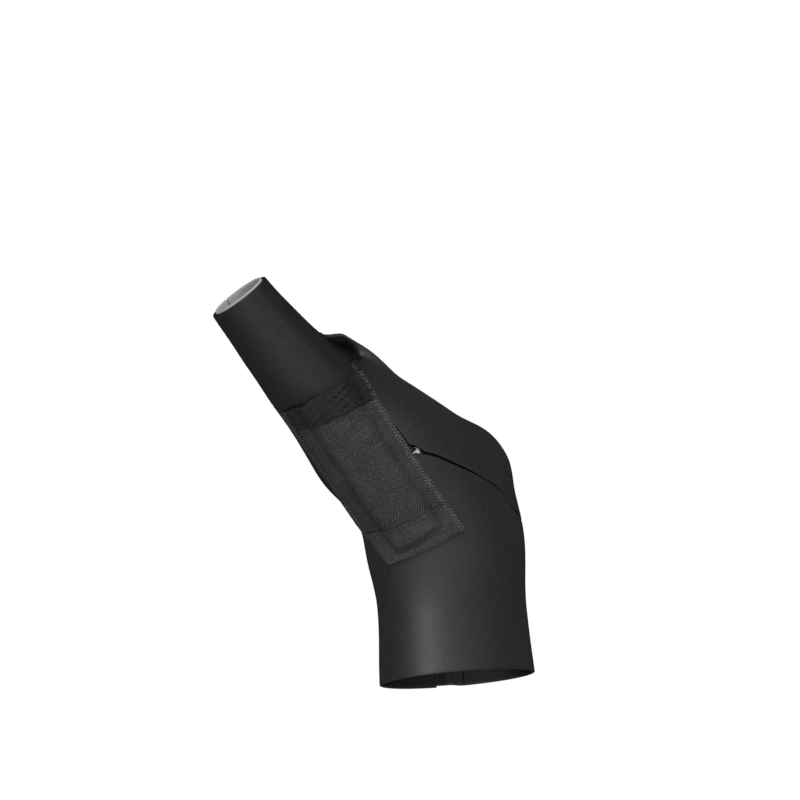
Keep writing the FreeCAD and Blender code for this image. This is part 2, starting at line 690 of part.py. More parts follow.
print("stay height %.2f, least clearance over the sleeve along its way out %.2f, turn %.1f deg" % (STAY_LOW, worst, math.degrees(math.acos(dot(N2, NS)))))


def pocket_grid(w0, w1, l0, l1, ni, nj):
    return [[on_stay(lerp(w0, w1, i / float(ni)), lerp(l0, l1, j / float(nj))) for j in range(nj + 1)] for i in range(ni + 1)]


def smooth_max(a, b, k=0.6):
    h = max(k - abs(a - b), 0.0) / k
    return max(a, b) + h * h * k * 0.25


def cover_low(i, j, p, n):
    """Lift of the cover's inside: over the stay and its caps, down to the laminate beside it and below it."""
    edge = SW / 2 + 0.9
    r = sub(p, MID)
    hn = max(0.35, dot(n, N2))
    H = D["cover_low"]
    for _ in range(5):
        q = [r[k] + n[k] * H for k in range(3)]
        w, l = dot(q, W2), dot(q, AX)
        top = STAY_LOW + STH + CW + D["stay_clear"] + bow(min(abs(w), edge))
        d = max(0.0, abs(w) - edge)
        top -= 0.8 * d + 0.28 * d * d
        e = max(0.0, -(SL / 2 + 1.0) - l)
        top -= 0.5 * e + 0.35 * e * e
        H = 0.5 * H + 0.5 * smooth_max(D["cover_low"], (top - dot(r, N2)) / hn)
    return H


def shifted(fn, by):
    return lambda i, j, p, n: fn(i, j, p, n) + by


CT = D["cover_thick"]
add("pocket_backing", sheet_solid(pocket_grid(-HALF_W + 1, HALF_W - 1, -HALF_L + 1, HALF_L - 1, 12, 20), D["backing_low"], D["backing_top"]))
cov = pocket_grid(-HALF_W, HALF_W, -HALF_L, HALF_L, 24, 28)
add("pocket_cover", sheet_solid(cov, 0, 0, cover_low, shifted(cover_low, CT)))
HG, HT = D["hem_gap"], D["hem_thick"]
add("pocket_top_hem", sheet_solid([c[-5:] for c in cov[1:-1]], 0, 0, shifted(cover_low, CT + HG), shifted(cover_low, CT + HG + HT)))
add("pocket_bottom_hem", sheet_solid([c[:6] for c in cov[1:-1]], 0, 0, shifted(cover_low, CT + HG), shifted(cover_low, CT + HG + HT)))
TG, TT, TW = D["thread_gap"], D["thread_thick"], D["thread_width"]
t0 = CT + HG + HT + TG
add("pocket_stitches_dorsal", sheet_solid(pocket_grid(HALF_W - TW + 0.2, HALF_W + 0.2, -HALF_L + 0.6, HALF_L + 0.8, 4, 28), 0, 0, shifted(cover_low, t0), shifted(cover_low, t0 + TT)))
add("pocket_stitches_palmar", sheet_solid(pocket_grid(-HALF_W - 0.2, -HALF_W + TW - 0.2, -HALF_L + 0.6, HALF_L + 0.4, 4, 28), 0, 0, shifted(cover_low, t0), shifted(cover_low, t0 + TT)))
EOF_MARK = 0

# support stay: a bowed strip, straight along its length, drawn in its own frame and set into the pocket
X2 = W2 if dot(cross(W2, N2), AX) > 0 else [-v for v in W2]
place = FreeCAD.Placement(FreeCAD.Matrix(X2[0], N2[0], AX[0], MID[0], X2[1], N2[1], AX[1], MID[1], X2[2], N2[2], AX[2], MID[2], 0, 0, 0, 1))
sheet.set("B%d" % row, repr(round(STAY_LOW, 3)))
sheet.setAlias("B%d" % row, "stay_height")
doc.recompute()


def plane(body, role):
    return [f for f in body.Origin.OriginFeatures if f.Role == role][0]


def bowed_section(sk, half, low, thick, bowr):
    """Arc-shaped section about the pocket's middle plane: concentric arcs closed by two lines."""
    c = FreeCAD.Vector(0, low - bowr, 0)
    r0, r1 = bowr, bowr + thick
    a = math.asin(half / bowr)
    z = FreeCAD.Vector(0, 0, 1)
    sk.addGeometry(Part.ArcOfCircle(Part.Circle(c, z, r0), math.pi / 2 - a, math.pi / 2 + a), False)
    sk.addGeometry(Part.ArcOfCircle(Part.Circle(c, z, r1), math.pi / 2 - a, math.pi / 2 + a), False)
    def at(r, s):
        return FreeCAD.Vector(c.x + r * math.sin(s * a), c.y + r * math.cos(a), 0)
    sk.addGeometry(Part.LineSegment(at(r0, 1), at(r1, 1)), False)
    sk.addGeometry(Part.LineSegment(at(r0, -1), at(r1, -1)), False)


def bowed_body(label, half, low, thick, bowr, length_cell, start_expr):
    body = doc.addObject("PartDesign::Body", label)
    body.Label = label
    sk = body.newObject("Sketcher::SketchObject", label + "_section")
    sk.AttachmentSupport = (plane(body, "XY_Plane"), [""])
    sk.MapMode = "FlatFace"
    bowed_section(sk, half, low, thick, bowr)
    doc.recompute()
    pad = body.newObject("PartDesign::Pad", label + "_pad")
    pad.Profile = sk
    pad.setExpression("Length", length_cell)
    doc.recompute()
    return body, sk, pad


stay, stay_sk, stay_pad = bowed_body("support_stay", SW / 2, STAY_LOW, STH, D["stay_bow"], "dims.stay_length", None)
stay_pad.Midplane = True
doc.recompute()
edges = ["Edge%d" % (k + 1) for k, e in enumerate(stay_pad.Shape.Edges) if e.Length < STH * 1.6]
fil = stay.newObject("PartDesign::Fillet", "support_stay_corners")
fil.Base = (stay_pad, edges)
fil.setExpression("Radius", "dims.stay_corner")
doc.recompute()
if "Invalid" in fil.State or fil.Shape.isNull():
    print("fillet failed", fil.State, edges)
core = fil.Shape.copy()
# dipped caps on the stay's ends: a thin coat that follows the strip and its rounded corners
for label, sign in (("stay_cap_thumb_end", 1), ("stay_cap_wrist_end", -1)):
    R0, R1 = D["stay_bow"] - CW, D["stay_bow"] + STH + CW
    a = math.asin((SW / 2 + CW) / D["stay_bow"])
    c = FreeCAD.Vector(0, STAY_LOW - D["stay_bow"], 0)
    def at(r, s):
        return FreeCAD.Vector(c.x + r * math.sin(s * a), c.y + r * math.cos(a * s), 0)
    wire = Part.Wire([Part.Arc(at(R0, -1), at(R0, 0), at(R0, 1)).toShape(), Part.LineSegment(at(R0, 1), at(R1, 1)).toShape(),
                      Part.Arc(at(R1, 1), at(R1, 0), at(R1, -1)).toShape(), Part.LineSegment(at(R1, -1), at(R0, -1)).toShape()])
    z0, z1 = SL / 2 - D["cap_length"], SL / 2 + CW
    block = Part.Face(wire).extrude(FreeCAD.Vector(0, 0, z1 - z0))
    block.translate(FreeCAD.Vector(0, 0, z0))
    ends = [e for e in block.Edges if e.Length < (R1 - R0) * 1.05 and e.BoundBox.ZMin > z1 - 0.01]
    block = block.makeFillet(D["stay_corner"] + CW, ends)
    if sign < 0:
        block = block.mirror(FreeCAD.Vector(0, 0, 0), FreeCAD.Vector(0, 0, 1))
    cap = add(label, block.cut(core).Solids[0])
    cap.Placement = place
stay.Placement = place
doc.recompute()
made.append(stay)

doc.recompute()
os.makedirs("parts", exist_ok=True)
bad = 0
for o in doc.Objects:
    if "Invalid" in o.State or "Error" in o.State:
        print("FAILED", o.Name, o.State)
        bad += 1
for o in made:
    sh = o.Shape
    if sh.isNull() or not sh.isValid() or len(sh.Solids) < 1 or any(not q.isClosed() for q in sh.Shells):
        print("BAD SHAPE", o.Label, sh.isNull(), sh.isValid(), len(sh.Solids))
        bad += 1
if bad:
    raise SystemExit("%d objects failed" % bad)
for o in made:
    o.Shape.exportStep("parts/%s.step" % o.Label)
    print(o.Label, round(o.Shape.Volume, 1), len(o.Shape.Solids))
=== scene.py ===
import bpy
import math
import numpy as np
from mathutils import Vector, Matrix


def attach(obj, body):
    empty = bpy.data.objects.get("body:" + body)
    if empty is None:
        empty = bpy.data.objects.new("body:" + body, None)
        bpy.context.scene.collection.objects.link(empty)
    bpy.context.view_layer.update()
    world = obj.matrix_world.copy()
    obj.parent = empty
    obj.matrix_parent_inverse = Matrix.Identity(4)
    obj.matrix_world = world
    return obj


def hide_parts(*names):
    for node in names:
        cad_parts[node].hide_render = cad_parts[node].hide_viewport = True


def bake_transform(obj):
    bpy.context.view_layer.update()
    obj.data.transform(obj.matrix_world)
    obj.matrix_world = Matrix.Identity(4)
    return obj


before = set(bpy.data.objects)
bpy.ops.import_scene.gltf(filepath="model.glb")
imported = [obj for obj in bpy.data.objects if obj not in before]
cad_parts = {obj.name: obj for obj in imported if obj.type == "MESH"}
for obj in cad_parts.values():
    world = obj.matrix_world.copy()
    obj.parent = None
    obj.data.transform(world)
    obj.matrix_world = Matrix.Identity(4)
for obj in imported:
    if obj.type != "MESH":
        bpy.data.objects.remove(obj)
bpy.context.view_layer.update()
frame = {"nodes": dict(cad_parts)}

M = 0.001

# ---------------------------------------------------------------- body form, in millimetres (same as the CAD part)
HAND = np.array([
    (-20.0, 30.0, 21.2, -0.2, 0.0), (0.0, 28.7, 20.1, -0.1, 0.0), (30.0, 27.2, 19.2, 1.2, 0.0), (53.0, 28.4, 19.8, 0.9, 0.0),
    (75.0, 31.2, 20.0, -0.4, 0.5), (100.0, 36.0, 18.6, 3.0, 1.5), (125.0, 39.5, 16.8, 6.0, 2.5), (150.0, 41.0, 15.5, 8.0, 3.0)])
THUMB = np.array([
    (27.0, 40.0, -2.0, 16.0), (25.5, 62.0, -9.0, 18.6), (23.6, 81.0, -17.5, 18.9), (21.6, 103.0, -28.0, 15.6),
    (19.7, 125.0, -36.3, 12.7), (18.9, 140.0, -41.8, 11.1), (18.5, 155.0, -47.0, 10.0), (18.5, 170.0, -52.5, 9.3)])
TURN = math.radians(34.0)
ER = (math.cos(TURN), math.sin(TURN))
ED = (math.sin(TURN), -math.cos(TURN))
SD, CD = math.sin(math.radians(11.0)), math.cos(math.radians(11.0))
CA, SA = 0.8712, 0.4909
BLEND = 20.0
DIP, DIP_R, DIP_D = np.array([-35.0, -6.0, 59.5]), np.array([12.0, 12.0, 8.5]), 5.2

crease_line = [[260.0918, 77.4322], [245.8066, 92.9727], [234.6174, 108.9449], [228.7455, 116.2351], [218.85, 121.8042]]
palm_line = [[178.414, 79.5657], [193.2566, 95.0902], [202.8357, 109.1641], [208.3723, 116.3434], [218.05, 121.8042]]
slit_w = [[260.0918, 77.4322], [272.6319, 75.6007], [288.5746, 72.2666], [313.027, 68.1569], [335.0286, 63.8402], [349.2026, 57.1308], [372.0, 53.5], [400.0, 51.2], [430.0, 50.0], [462.0, 49.8], [500.0, 50.5]]
top_w = [[218.85, 121.8042], [227.6519, 120.0014], [248.6048, 104.929], [288.5874, 92.733], [337.2436, 85.727], [363.8136, 77.3736], [378.0, 69.5], [392.0, 67.0], [420.0, 65.0], [455.0, 65.5], [484.0, 66.5], [505.0, 67.0]]
palm_slit = [[92.5, 50.2], [112.0, 51.5], [130.0, 55.5], [150.0, 63.5], [165.0, 71.8], [178.414, 79.5657]]
palm_top = [[92.5, 66.0], [112.0, 68.0], [130.0, 72.5], [150.0, 81.0], [170.0, 93.0], [190.0, 108.0], [205.0, 119.0], [218.05, 121.8042]]
W, S, SP = (218.45, 121.8042), (260.0918, 77.4322), (178.414, 79.5657)
MID = np.array([-21.5431, -36.1193, 74.1564])
AX = np.array([-0.4588, -0.3014, 0.8359]); AX /= np.linalg.norm(AX)
NS = np.array([0.0631, -0.9494, -0.3077]); NS /= np.linalg.norm(NS)
WS = np.array([0.8863, -0.0884, 0.4546]); WS /= np.linalg.norm(WS)
N2 = np.array([-0.0441, -0.9318, -0.3602]); N2 /= np.linalg.norm(N2)
W2 = np.array([0.8875, -0.2021, 0.4142]); W2 /= np.linalg.norm(W2)
STAY_LOW, STH, CW, SW, SL, BOWR, CLEAR = 3.0263, 1.1, 0.35, 13.0, 58.0, 24.0, 0.22
HALF_L, HALF_W = 33.0, 13.7
LAM_LOW, LAM_TOP = 0.10, 1.50
BASE_AL, TOP_AL, WEB_PSI, SEAM = 77.0, 155.0, -30.0, -112.0
STRAP_END, PANEL_END, TAB_END = 440.0, 92.5, 500.0
BAND_START, BAND_END, BAND_TAB_END = 112.0, 456.0, 528.0


def herm(xs, ys, x):
    xs, ys, x = np.asarray(xs, float), np.asarray(ys, float), np.asarray(x, float)
    n = len(xs)
    i = np.clip(np.searchsorted(xs, x, side="left") - 1, 0, n - 2)
    sl = np.empty(n)
    sl[0] = (ys[1] - ys[0]) / (xs[1] - xs[0])
    sl[-1] = (ys[-1] - ys[-2]) / (xs[-1] - xs[-2])
    if n > 2:
        sl[1:-1] = (ys[2:] - ys[:-2]) / (xs[2:] - xs[:-2])
    h = xs[i + 1] - xs[i]
    t = (x - xs[i]) / h
    m0, m1 = sl[i] * h, sl[i + 1] * h
    t2, t3 = t * t, t ** 3
    y = (2 * t3 - 3 * t2 + 1) * ys[i] + (t3 - 2 * t2 + t) * m0 + (-2 * t3 + 3 * t2) * ys[i + 1] + (t3 - t2) * m1
    y = np.where(t < 0, ys[i] + sl[i] * (x - xs[i]), y)
    return np.where(t > 1, ys[i + 1] + sl[i + 1] * (x - xs[i + 1]), y)


ZT = np.linspace(-25.0, 175.0, 401)
HT = [herm(HAND[:, 0], HAND[:, c], ZT) for c in (1, 2, 3, 4)]


def hand_at(z):
    return [np.interp(z, ZT, t) for t in HT]


def from_face(x, v, y):
    return np.stack([x, y, (v + SD * y) / CD], -1)


def thumb_axis(al):
    n, y, r = (herm(THUMB[:, 1], THUMB[:, c], al) for c in (0, 2, 3))
    return from_face(CA * n - SA * al, SA * n + CA * al, y), r


ALS = np.linspace(40.0, 170.0, 61)
TP, TR = thumb_axis(ALS)
TE = TP[1:] - TP[:-1]
TL2 = (TE ** 2).sum(1)


def form(P):
    P = np.asarray(P, float).reshape(-1, 3)
    out = np.empty(len(P))
    for s in range(0, len(P), 12000):
        Q = P[s:s + 12000]
        a, b, cx, cy = hand_at(Q[:, 2])
        u = (Q[:, 0] - cx) * ER[0] + (Q[:, 1] - cy) * ER[1]
        v = (Q[:, 0] - cx) * ED[0] + (Q[:, 1] - cy) * ED[1]
        k0 = np.hypot(u / a, v / b)
        k1 = np.maximum(np.hypot(u / (a * a), v / (b * b)), 1e-9)
        dh = k0 * (k0 - 1.0) / k1
        Dv = Q[:, None, :] - TP[None, :-1]
        t = np.clip((Dv * TE).sum(2) / TL2, 0, 1)
        R = Dv - TE * t[:, :, None]
        d = np.sqrt((R ** 2).sum(2)) - (TR[:-1] + (TR[1:] - TR[:-1]) * t)
        k = d.argmin(1)
        rows = np.arange(len(Q))
        al = ALS[k] + (ALS[1] - ALS[0]) * t[rows, k]
        c, r = thumb_axis(al)
        dt = np.sqrt(((Q - c) ** 2).sum(1)) - r
        h = np.maximum(BLEND - np.abs(dh - dt), 0.0) / BLEND
        f = np.minimum(dh, dt) - h * h * BLEND * 0.25
        # the hollow below the base of the thumb
        g = (Q - DIP) / DIP_R
        out[s:s + 12000] = f + DIP_D * np.exp(-(g ** 2).sum(1) / 2)
    return out


def grad(P, e=0.35):
    P = np.asarray(P, float)
    shp = P.shape
    Q = P.reshape(-1, 3)
    g = np.stack([form(Q + np.eye(3)[k] * e) - form(Q - np.eye(3)[k] * e) for k in range(3)], 1)
    m = np.sqrt((g ** 2).sum(1))
    return (g / m[:, None]).reshape(shp), (m / (2 * e)).reshape(shp[:-1])


def settle(P, times=2):
    P = np.asarray(P, float)
    for _ in range(times):
        n, m = grad(P)
        P = P - n * (form(P).reshape(P.shape[:-1]) / m)[..., None]
    return P


def crossing(O, Dr, r0, r1, step, outward=True):
    N = len(O)
    s = 1.0 if outward else -1.0
    lo, hi = np.full(N, np.nan), np.full(N, np.nan)
    act = np.arange(N)
    r = r0
    while r <= r1 and len(act):
        hit = s * form(O[act] + Dr[act] * r) > 0
        lo[act[hit]], hi[act[hit]] = r - step, r
        act = act[~hit]
        r += step
    ok = ~np.isnan(lo)
    lo, hi = np.where(ok, lo, 0), np.where(ok, hi, 0)
    for _ in range(13):
        m = 0.5 * (lo + hi)
        f = s * form(O + Dr * m[:, None]) > 0
        hi, lo = np.where(f, m, hi), np.where(f, lo, m)
    return np.where(ok, 0.5 * (lo + hi), np.nan)


def on_wrist(phi, z):
    phi, z = np.broadcast_arrays(np.asarray(phi, float), np.asarray(z, float))
    shp = phi.shape
    phi, z = phi.ravel(), z.ravel()
    _, _, cx, cy = hand_at(z)
    O = np.stack([cx, cy, z], 1)
    f = np.radians(phi)
    Dr = np.stack([np.cos(f), np.sin(f), np.zeros_like(f)], 1)
    r = crossing(O, Dr, 8.0, 110.0, 3.0)
    return (O + Dr * r[:, None]).reshape(shp + (3,))


def thumb_frame(al):
    al = np.asarray(al, float)
    c, _ = thumb_axis(al)
    ax = thumb_axis(al + 6.5)[0] - thumb_axis(al - 6.5)[0]
    ax /= np.sqrt((ax ** 2).sum(-1))[..., None]
    n = np.array([CA, 0.0, SA]) - (ax @ np.array([CA, 0.0, SA]))[..., None] * ax
    n /= np.sqrt((n ** 2).sum(-1))[..., None]
    v = np.cross(ax, n)
    v = np.where(v[..., 1:2] > 0, -v, v)
    return c, ax, n, v


def on_thumb(psi, al):
    psi, al = np.broadcast_arrays(np.asarray(psi, float), np.asarray(al, float))
    shp = psi.shape
    psi, al = psi.ravel(), al.ravel()
    c, ax, n, v = thumb_frame(al)
    f = np.radians(psi)
    Dr = np.cos(f)[:, None] * n + np.sin(f)[:, None] * v
    r = crossing(c, Dr, 4.0, 90.0, 2.0)
    return (c + Dr * r[:, None]).reshape(shp + (3,))


FA = np.arange(60.0, 160.01, 0.25)
FC, FX, FN, FV = thumb_frame(FA)


def thumb_coords(P):
    P = np.asarray(P, float).reshape(-1, 3)
    s = ((P[:, None, :] - FC[None]) * FX[None]).sum(2)
    k = np.abs(s).argmin(1)
    rows = np.arange(len(P))
    al = FA[k] + s[rows, k]
    c, ax, n, v = thumb_frame(al)
    d = P - c
    return np.degrees(np.arctan2((d * v).sum(1), (d * n).sum(1))), al


def wrist_coords(P):
    P = np.asarray(P, float).reshape(-1, 3)
    _, _, cx, cy = hand_at(P[:, 2])
    return np.degrees(np.arctan2(P[:, 1] - cy, P[:, 0] - cx)) % 360.0, P[:, 2]


def on_stay(w, l):
    w, l = np.broadcast_arrays(np.asarray(w, float), np.asarray(l, float))
    shp = w.shape
    w, l = w.ravel(), l.ravel()
    O = MID + w[:, None] * WS + l[:, None] * AX + 60.0 * NS
    Dr = np.tile(-NS, (len(w), 1))
    r = crossing(O, Dr, 0.0, 120.0, 2.0, outward=False)
    return (O + Dr * r[:, None]).reshape(shp + (3,))


def curve_z(points, phi):
    p = np.array(points)
    return herm(p[:, 0], p[:, 1], np.clip(phi, p[0, 0], p[-1, 0]))


def polyline(points, t):
    p = np.array(points, float)
    xs = np.concatenate([[0], np.cumsum(np.sqrt(((p[1:] - p[:-1]) ** 2).sum(1)))])
    xs /= xs[-1]
    return herm(xs, p[:, 0], t), herm(xs, p[:, 1], t)


def lerp(a, b, t):
    return a + (b - a) * t


def ramp(f, f0, f1):
    t = np.clip((f - f0) / (f1 - f0), 0, 1)
    return t * t * (3 - 2 * t)


# the sleeve's lower edge, true to the crease lines
def in_thumb(line, n=90):
    t = np.linspace(0, 1, n)
    return thumb_coords(on_wrist(*polyline(line, t)))


pq, pa = in_thumb(palm_line)
cq, ca = in_thumb(crease_line)
_q = np.concatenate([pq, cq[::-1]])
_a = np.concatenate([pa, ca[::-1]])
_o = np.argsort(_q)
_q, _a = _q[_o], _a[_o]
PSI0, PSI1 = _q[0], _q[-1]


def sleeve_edge(psi):
    psi = (np.asarray(psi, float) - PSI0) % 360.0 + PSI0
    a = np.interp(psi, _q, _a)
    d1, d0 = psi - PSI1, PSI0 + 360.0 - psi
    q = np.minimum(d1, d0)
    end = np.where(d1 < d0, _a[-1], _a[0])
    t = np.clip(q / 60.0, 0, 1)
    t = t * t * (3 - 2 * t)
    return np.where(psi > PSI1, lerp(end, BASE_AL, t), a)


_ps = np.linspace(PSI0 + 359.9, PSI1 + 0.1, 120)
_uf, _uz = wrist_coords(on_thumb(_ps, sleeve_edge(_ps)))
_k = np.argsort(_uf)
_uf, _uz = _uf[_k], _uz[_k]


def band_edge(f):
    f = np.asarray(f, float)
    u = np.interp(f, _uf, _uz) - 0.35
    z = np.where(f <= SP[0], curve_z(palm_slit, f) - 0.3, u)
    return np.where(f >= S[0], curve_z(slit_w, f) - 0.28, z)


# ---------------------------------------------------------------- fine skin grids
def crom(n_in, t):
    """Interpolation weights of a smooth curve through n_in even nodes at shares t."""
    x = np.clip(np.asarray(t, float), 0, 1) * (n_in - 1)
    i = np.clip(np.floor(x).astype(int), 0, n_in - 2)
    u = x - i
    w = np.zeros((len(x), n_in))
    c = [-0.5 * u + u ** 2 - 0.5 * u ** 3, 1 - 2.5 * u ** 2 + 1.5 * u ** 3, 0.5 * u + 2 * u ** 2 - 1.5 * u ** 3, -0.5 * u ** 2 + 0.5 * u ** 3]
    rows = np.arange(len(x))
    for k in range(4):
        j = i + k - 1
        lo, hi = j < 0, j > n_in - 1
        mid = ~(lo | hi)
        np.add.at(w, (rows[mid], j[mid]), c[k][mid])
        for m, a, b in ((lo, 0, 1), (hi, n_in - 1, n_in - 2)):     # mirrored past the ends
            np.add.at(w, (rows[m], np.full(m.sum(), a)), 2 * c[k][m])
            np.add.at(w, (rows[m], np.full(m.sum(), b)), -c[k][m])
    return w


def fine(fn, U, V, cu=48, cv=20):
    """Skin points at shares U x V of a patch: a coarse grid by rays, refined and settled on the form."""
    cuv = np.meshgrid(np.linspace(0, 1, cu), np.linspace(0, 1, cv), indexing="ij")
    C = fn(*cuv)
    if np.isnan(C).any():
        for k in range(3):
            c = C[..., k]
            bad = np.isnan(c)
            if bad.any():
                idx = np.argwhere(~bad)
                for b in np.argwhere(bad):
                    j = ((idx - b) ** 2).sum(1).argmin()
                    c[tuple(b)] = c[tuple(idx[j])]
    G = np.einsum("ia,abk->ibk", crom(cu, U), C)
    G = np.einsum("jb,ibk->ijk", crom(cv, V), G)
    return settle(G, 2)


def shares(L, step, r=0.35):
    """Shares 0..1 over a length in mm, with close rows at both ends for a rounded edge."""
    n = max(2, int(round((L - 2 * r) / step)))
    inner = np.linspace(r, L - r, n + 1)
    ends = np.array([0.0, 0.12 * r, 0.4 * r])
    s = np.concatenate([ends, inner, L - ends[::-1]])
    return s / L


def edge_distance(G):
    du = np.sqrt(((G[1:] - G[:-1]) ** 2).sum(2))
    dv = np.sqrt(((G[:, 1:] - G[:, :-1]) ** 2).sum(2))
    cu = np.concatenate([np.zeros((1, G.shape[1])), np.cumsum(du, 0)], 0)
    cv = np.concatenate([np.zeros((G.shape[0], 1)), np.cumsum(dv, 1)], 1)
    return cu, cu[-1:] - cu, cv, cv[:, -1:] - cv


COLL = bpy.context.scene.collection


def mesh_object(name, verts, faces, mats, midx=None, uv=None, smooth=True, mm=True):
    me = bpy.data.meshes.new(name)
    v = np.asarray(verts, float) * (M if mm else 1.0)
    me.from_pydata([tuple(p) for p in v], [], [tuple(f) for f in faces])
    for m in mats:
        me.materials.append(m)
    if midx is not None:
        me.polygons.foreach_set("material_index", np.asarray(midx, np.int32))
    me.polygons.foreach_set("use_smooth", [smooth] * len(me.polygons))
    if uv is not None:
        lay = me.uv_layers.new(name="UVMap")
        li = np.empty(len(me.loops), np.int32)
        me.loops.foreach_get("vertex_index", li)
        lay.data.foreach_set("uv", np.asarray(uv, np.float32)[li].ravel())
    me.update()
    o = bpy.data.objects.new(name, me)
    COLL.objects.link(o)
    return o


def sheet(name, G, low, top, mats, r=0.35, core_sides="", wave=None, core_span=(0.0, 1.0), own_normals=False):
    """A closed sheet of cloth over skin grid G, from height low to height top, with rounded edges. core_sides names edges ("u0 v1") whose cut shows mats[1]."""
    nu, nv = G.shape[:2]
    N, _ = grad(G)
    if own_normals:
        K = np.cross(np.gradient(G, axis=0), np.gradient(G, axis=1))
        K /= np.maximum(np.sqrt((K ** 2).sum(2)), 1e-12)[..., None]
        N = K * np.sign((K * N).sum(2).mean())
    low = np.broadcast_to(low, (nu, nv)).astype(float)
    top = np.broadcast_to(top, (nu, nv)).astype(float)
    if wave is not None:
        low, top = low + wave, top + wave
    u0, u1, v0, v1 = edge_distance(G)
    d = np.minimum(np.minimum(u0, u1), np.minimum(v0, v1))
    rr = np.minimum(r, (top - low) * 0.48)
    drop = rr * (1 - np.sqrt(1 - np.clip((rr - d) / rr, 0, 1) ** 2))
    T = G + N * (top - drop)[..., None]
    B = G + N * (low + drop)[..., None]
    idx = np.arange(nu * nv).reshape(nu, nv)
    off = nu * nv
    a, b, c, e = idx[:-1, :-1], idx[1:, :-1], idx[1:, 1:], idx[:-1, 1:]
    tf = np.stack([a, b, c, e], -1).reshape(-1, 4)
    # orientation: outward along N
    p = T.reshape(-1, 3)
    mid = tf[len(tf) // 2]
    nn = np.cross(p[mid[1]] - p[mid[0]], p[mid[3]] - p[mid[0]])
    if (nn * N.reshape(-1, 3)[mid[0]]).sum() < 0:
        tf = tf[:, ::-1]
        flip = True
    else:
        flip = False
    bf = tf[:, ::-1] + off
    faces, mi = [tf, bf], [np.zeros(len(tf), int), np.zeros(len(bf), int)]
    core = core_sides.split()
    for side, line in (("v0", idx[:, 0]), ("u1", idx[-1, :]), ("v1", idx[::-1, -1]), ("u0", idx[0, ::-1])):
        q = np.stack([line[:-1], line[:-1] + off, line[1:] + off, line[1:]], -1)
        if flip:
            q = q[:, ::-1]
        faces.append(q)
        share = np.arange(len(q)) / max(1, len(q) - 1)
        if side in ("v1", "u0"):
            share = share[::-1]
        mi.append(((side in core) & (share >= core_span[0]) & (share <= core_span[1])).astype(int))
    V = np.concatenate([T.reshape(-1, 3), B.reshape(-1, 3)])
    uvg = np.stack([u0 * 1.0, v0 * 1.0], -1).reshape(-1, 2) / 10.0
    uv = np.concatenate([uvg, uvg + 0.5])
    return mesh_object(name, V, np.concatenate(faces), mats, np.concatenate(mi), uv)


def tubes(name, paths, radius, mats, sides=6, taper=True, uvs=True):
    """Closed thread pieces: each path is (points, normals-free) swept as a small tube with rounded ends."""
    V, F, UV = [], [], []
    base = 0
    for P in paths:
        P = np.asarray(P, float)
        n = len(P)
        t = np.gradient(P, axis=0)
        t /= np.maximum(np.sqrt((t ** 2).sum(1)), 1e-9)[:, None]
        ref = np.array([0.3, 0.2, 0.93])
        a = np.cross(t, ref)
        a /= np.sqrt((a ** 2).sum(1))[:, None]
        b = np.cross(t, a)
        rad = np.full(n, radius)
        if taper:
            rad[0] *= 0.45
            rad[-1] *= 0.45
        ang = np.linspace(0, 2 * math.pi, sides, endpoint=False)
        ring = P[:, None, :] + rad[:, None, None] * (np.cos(ang)[None, :, None] * a[:, None, :] + np.sin(ang)[None, :, None] * b[:, None, :])
        V.append(ring.reshape(-1, 3))
        L = np.concatenate([[0], np.cumsum(np.sqrt(((P[1:] - P[:-1]) ** 2).sum(1)))])
        UV.append(np.stack([np.repeat(L, sides) / 10.0, np.tile(np.arange(sides) / sides * 0.2, n)], -1))
        for i in range(n - 1):
            for j in range(sides):
                k = (j + 1) % sides
                F.append((base + i * sides + j, base + i * sides + k, base + (i + 1) * sides + k, base + (i + 1) * sides + j))
        V.append(P[:1] - t[:1] * radius * 0.3)
        V.append(P[-1:] + t[-1:] * radius * 0.3)
        UV.append(np.zeros((2, 2)))
        c0, c1 = base + n * sides, base + n * sides + 1
        for j in range(sides):
            k = (j + 1) % sides
            F.append((c0, base + k, base + j))
            F.append((c1, base + (n - 1) * sides + j, base + (n - 1) * sides + k))
        base += n * sides + 2
    me = mesh_object(name, np.concatenate(V), F, mats, None, np.concatenate(UV))
    return me


# ---------------------------------------------------------------- materials
def new_mat(name):
    m = bpy.data.materials.new(name)
    m.use_nodes = True
    nt = m.node_tree
    nt.nodes.clear()
    out = nt.nodes.new("ShaderNodeOutputMaterial")
    bs = nt.nodes.new("ShaderNodeBsdfPrincipled")
    nt.links.new(bs.outputs[0], out.inputs[0])
    return m, nt, bs


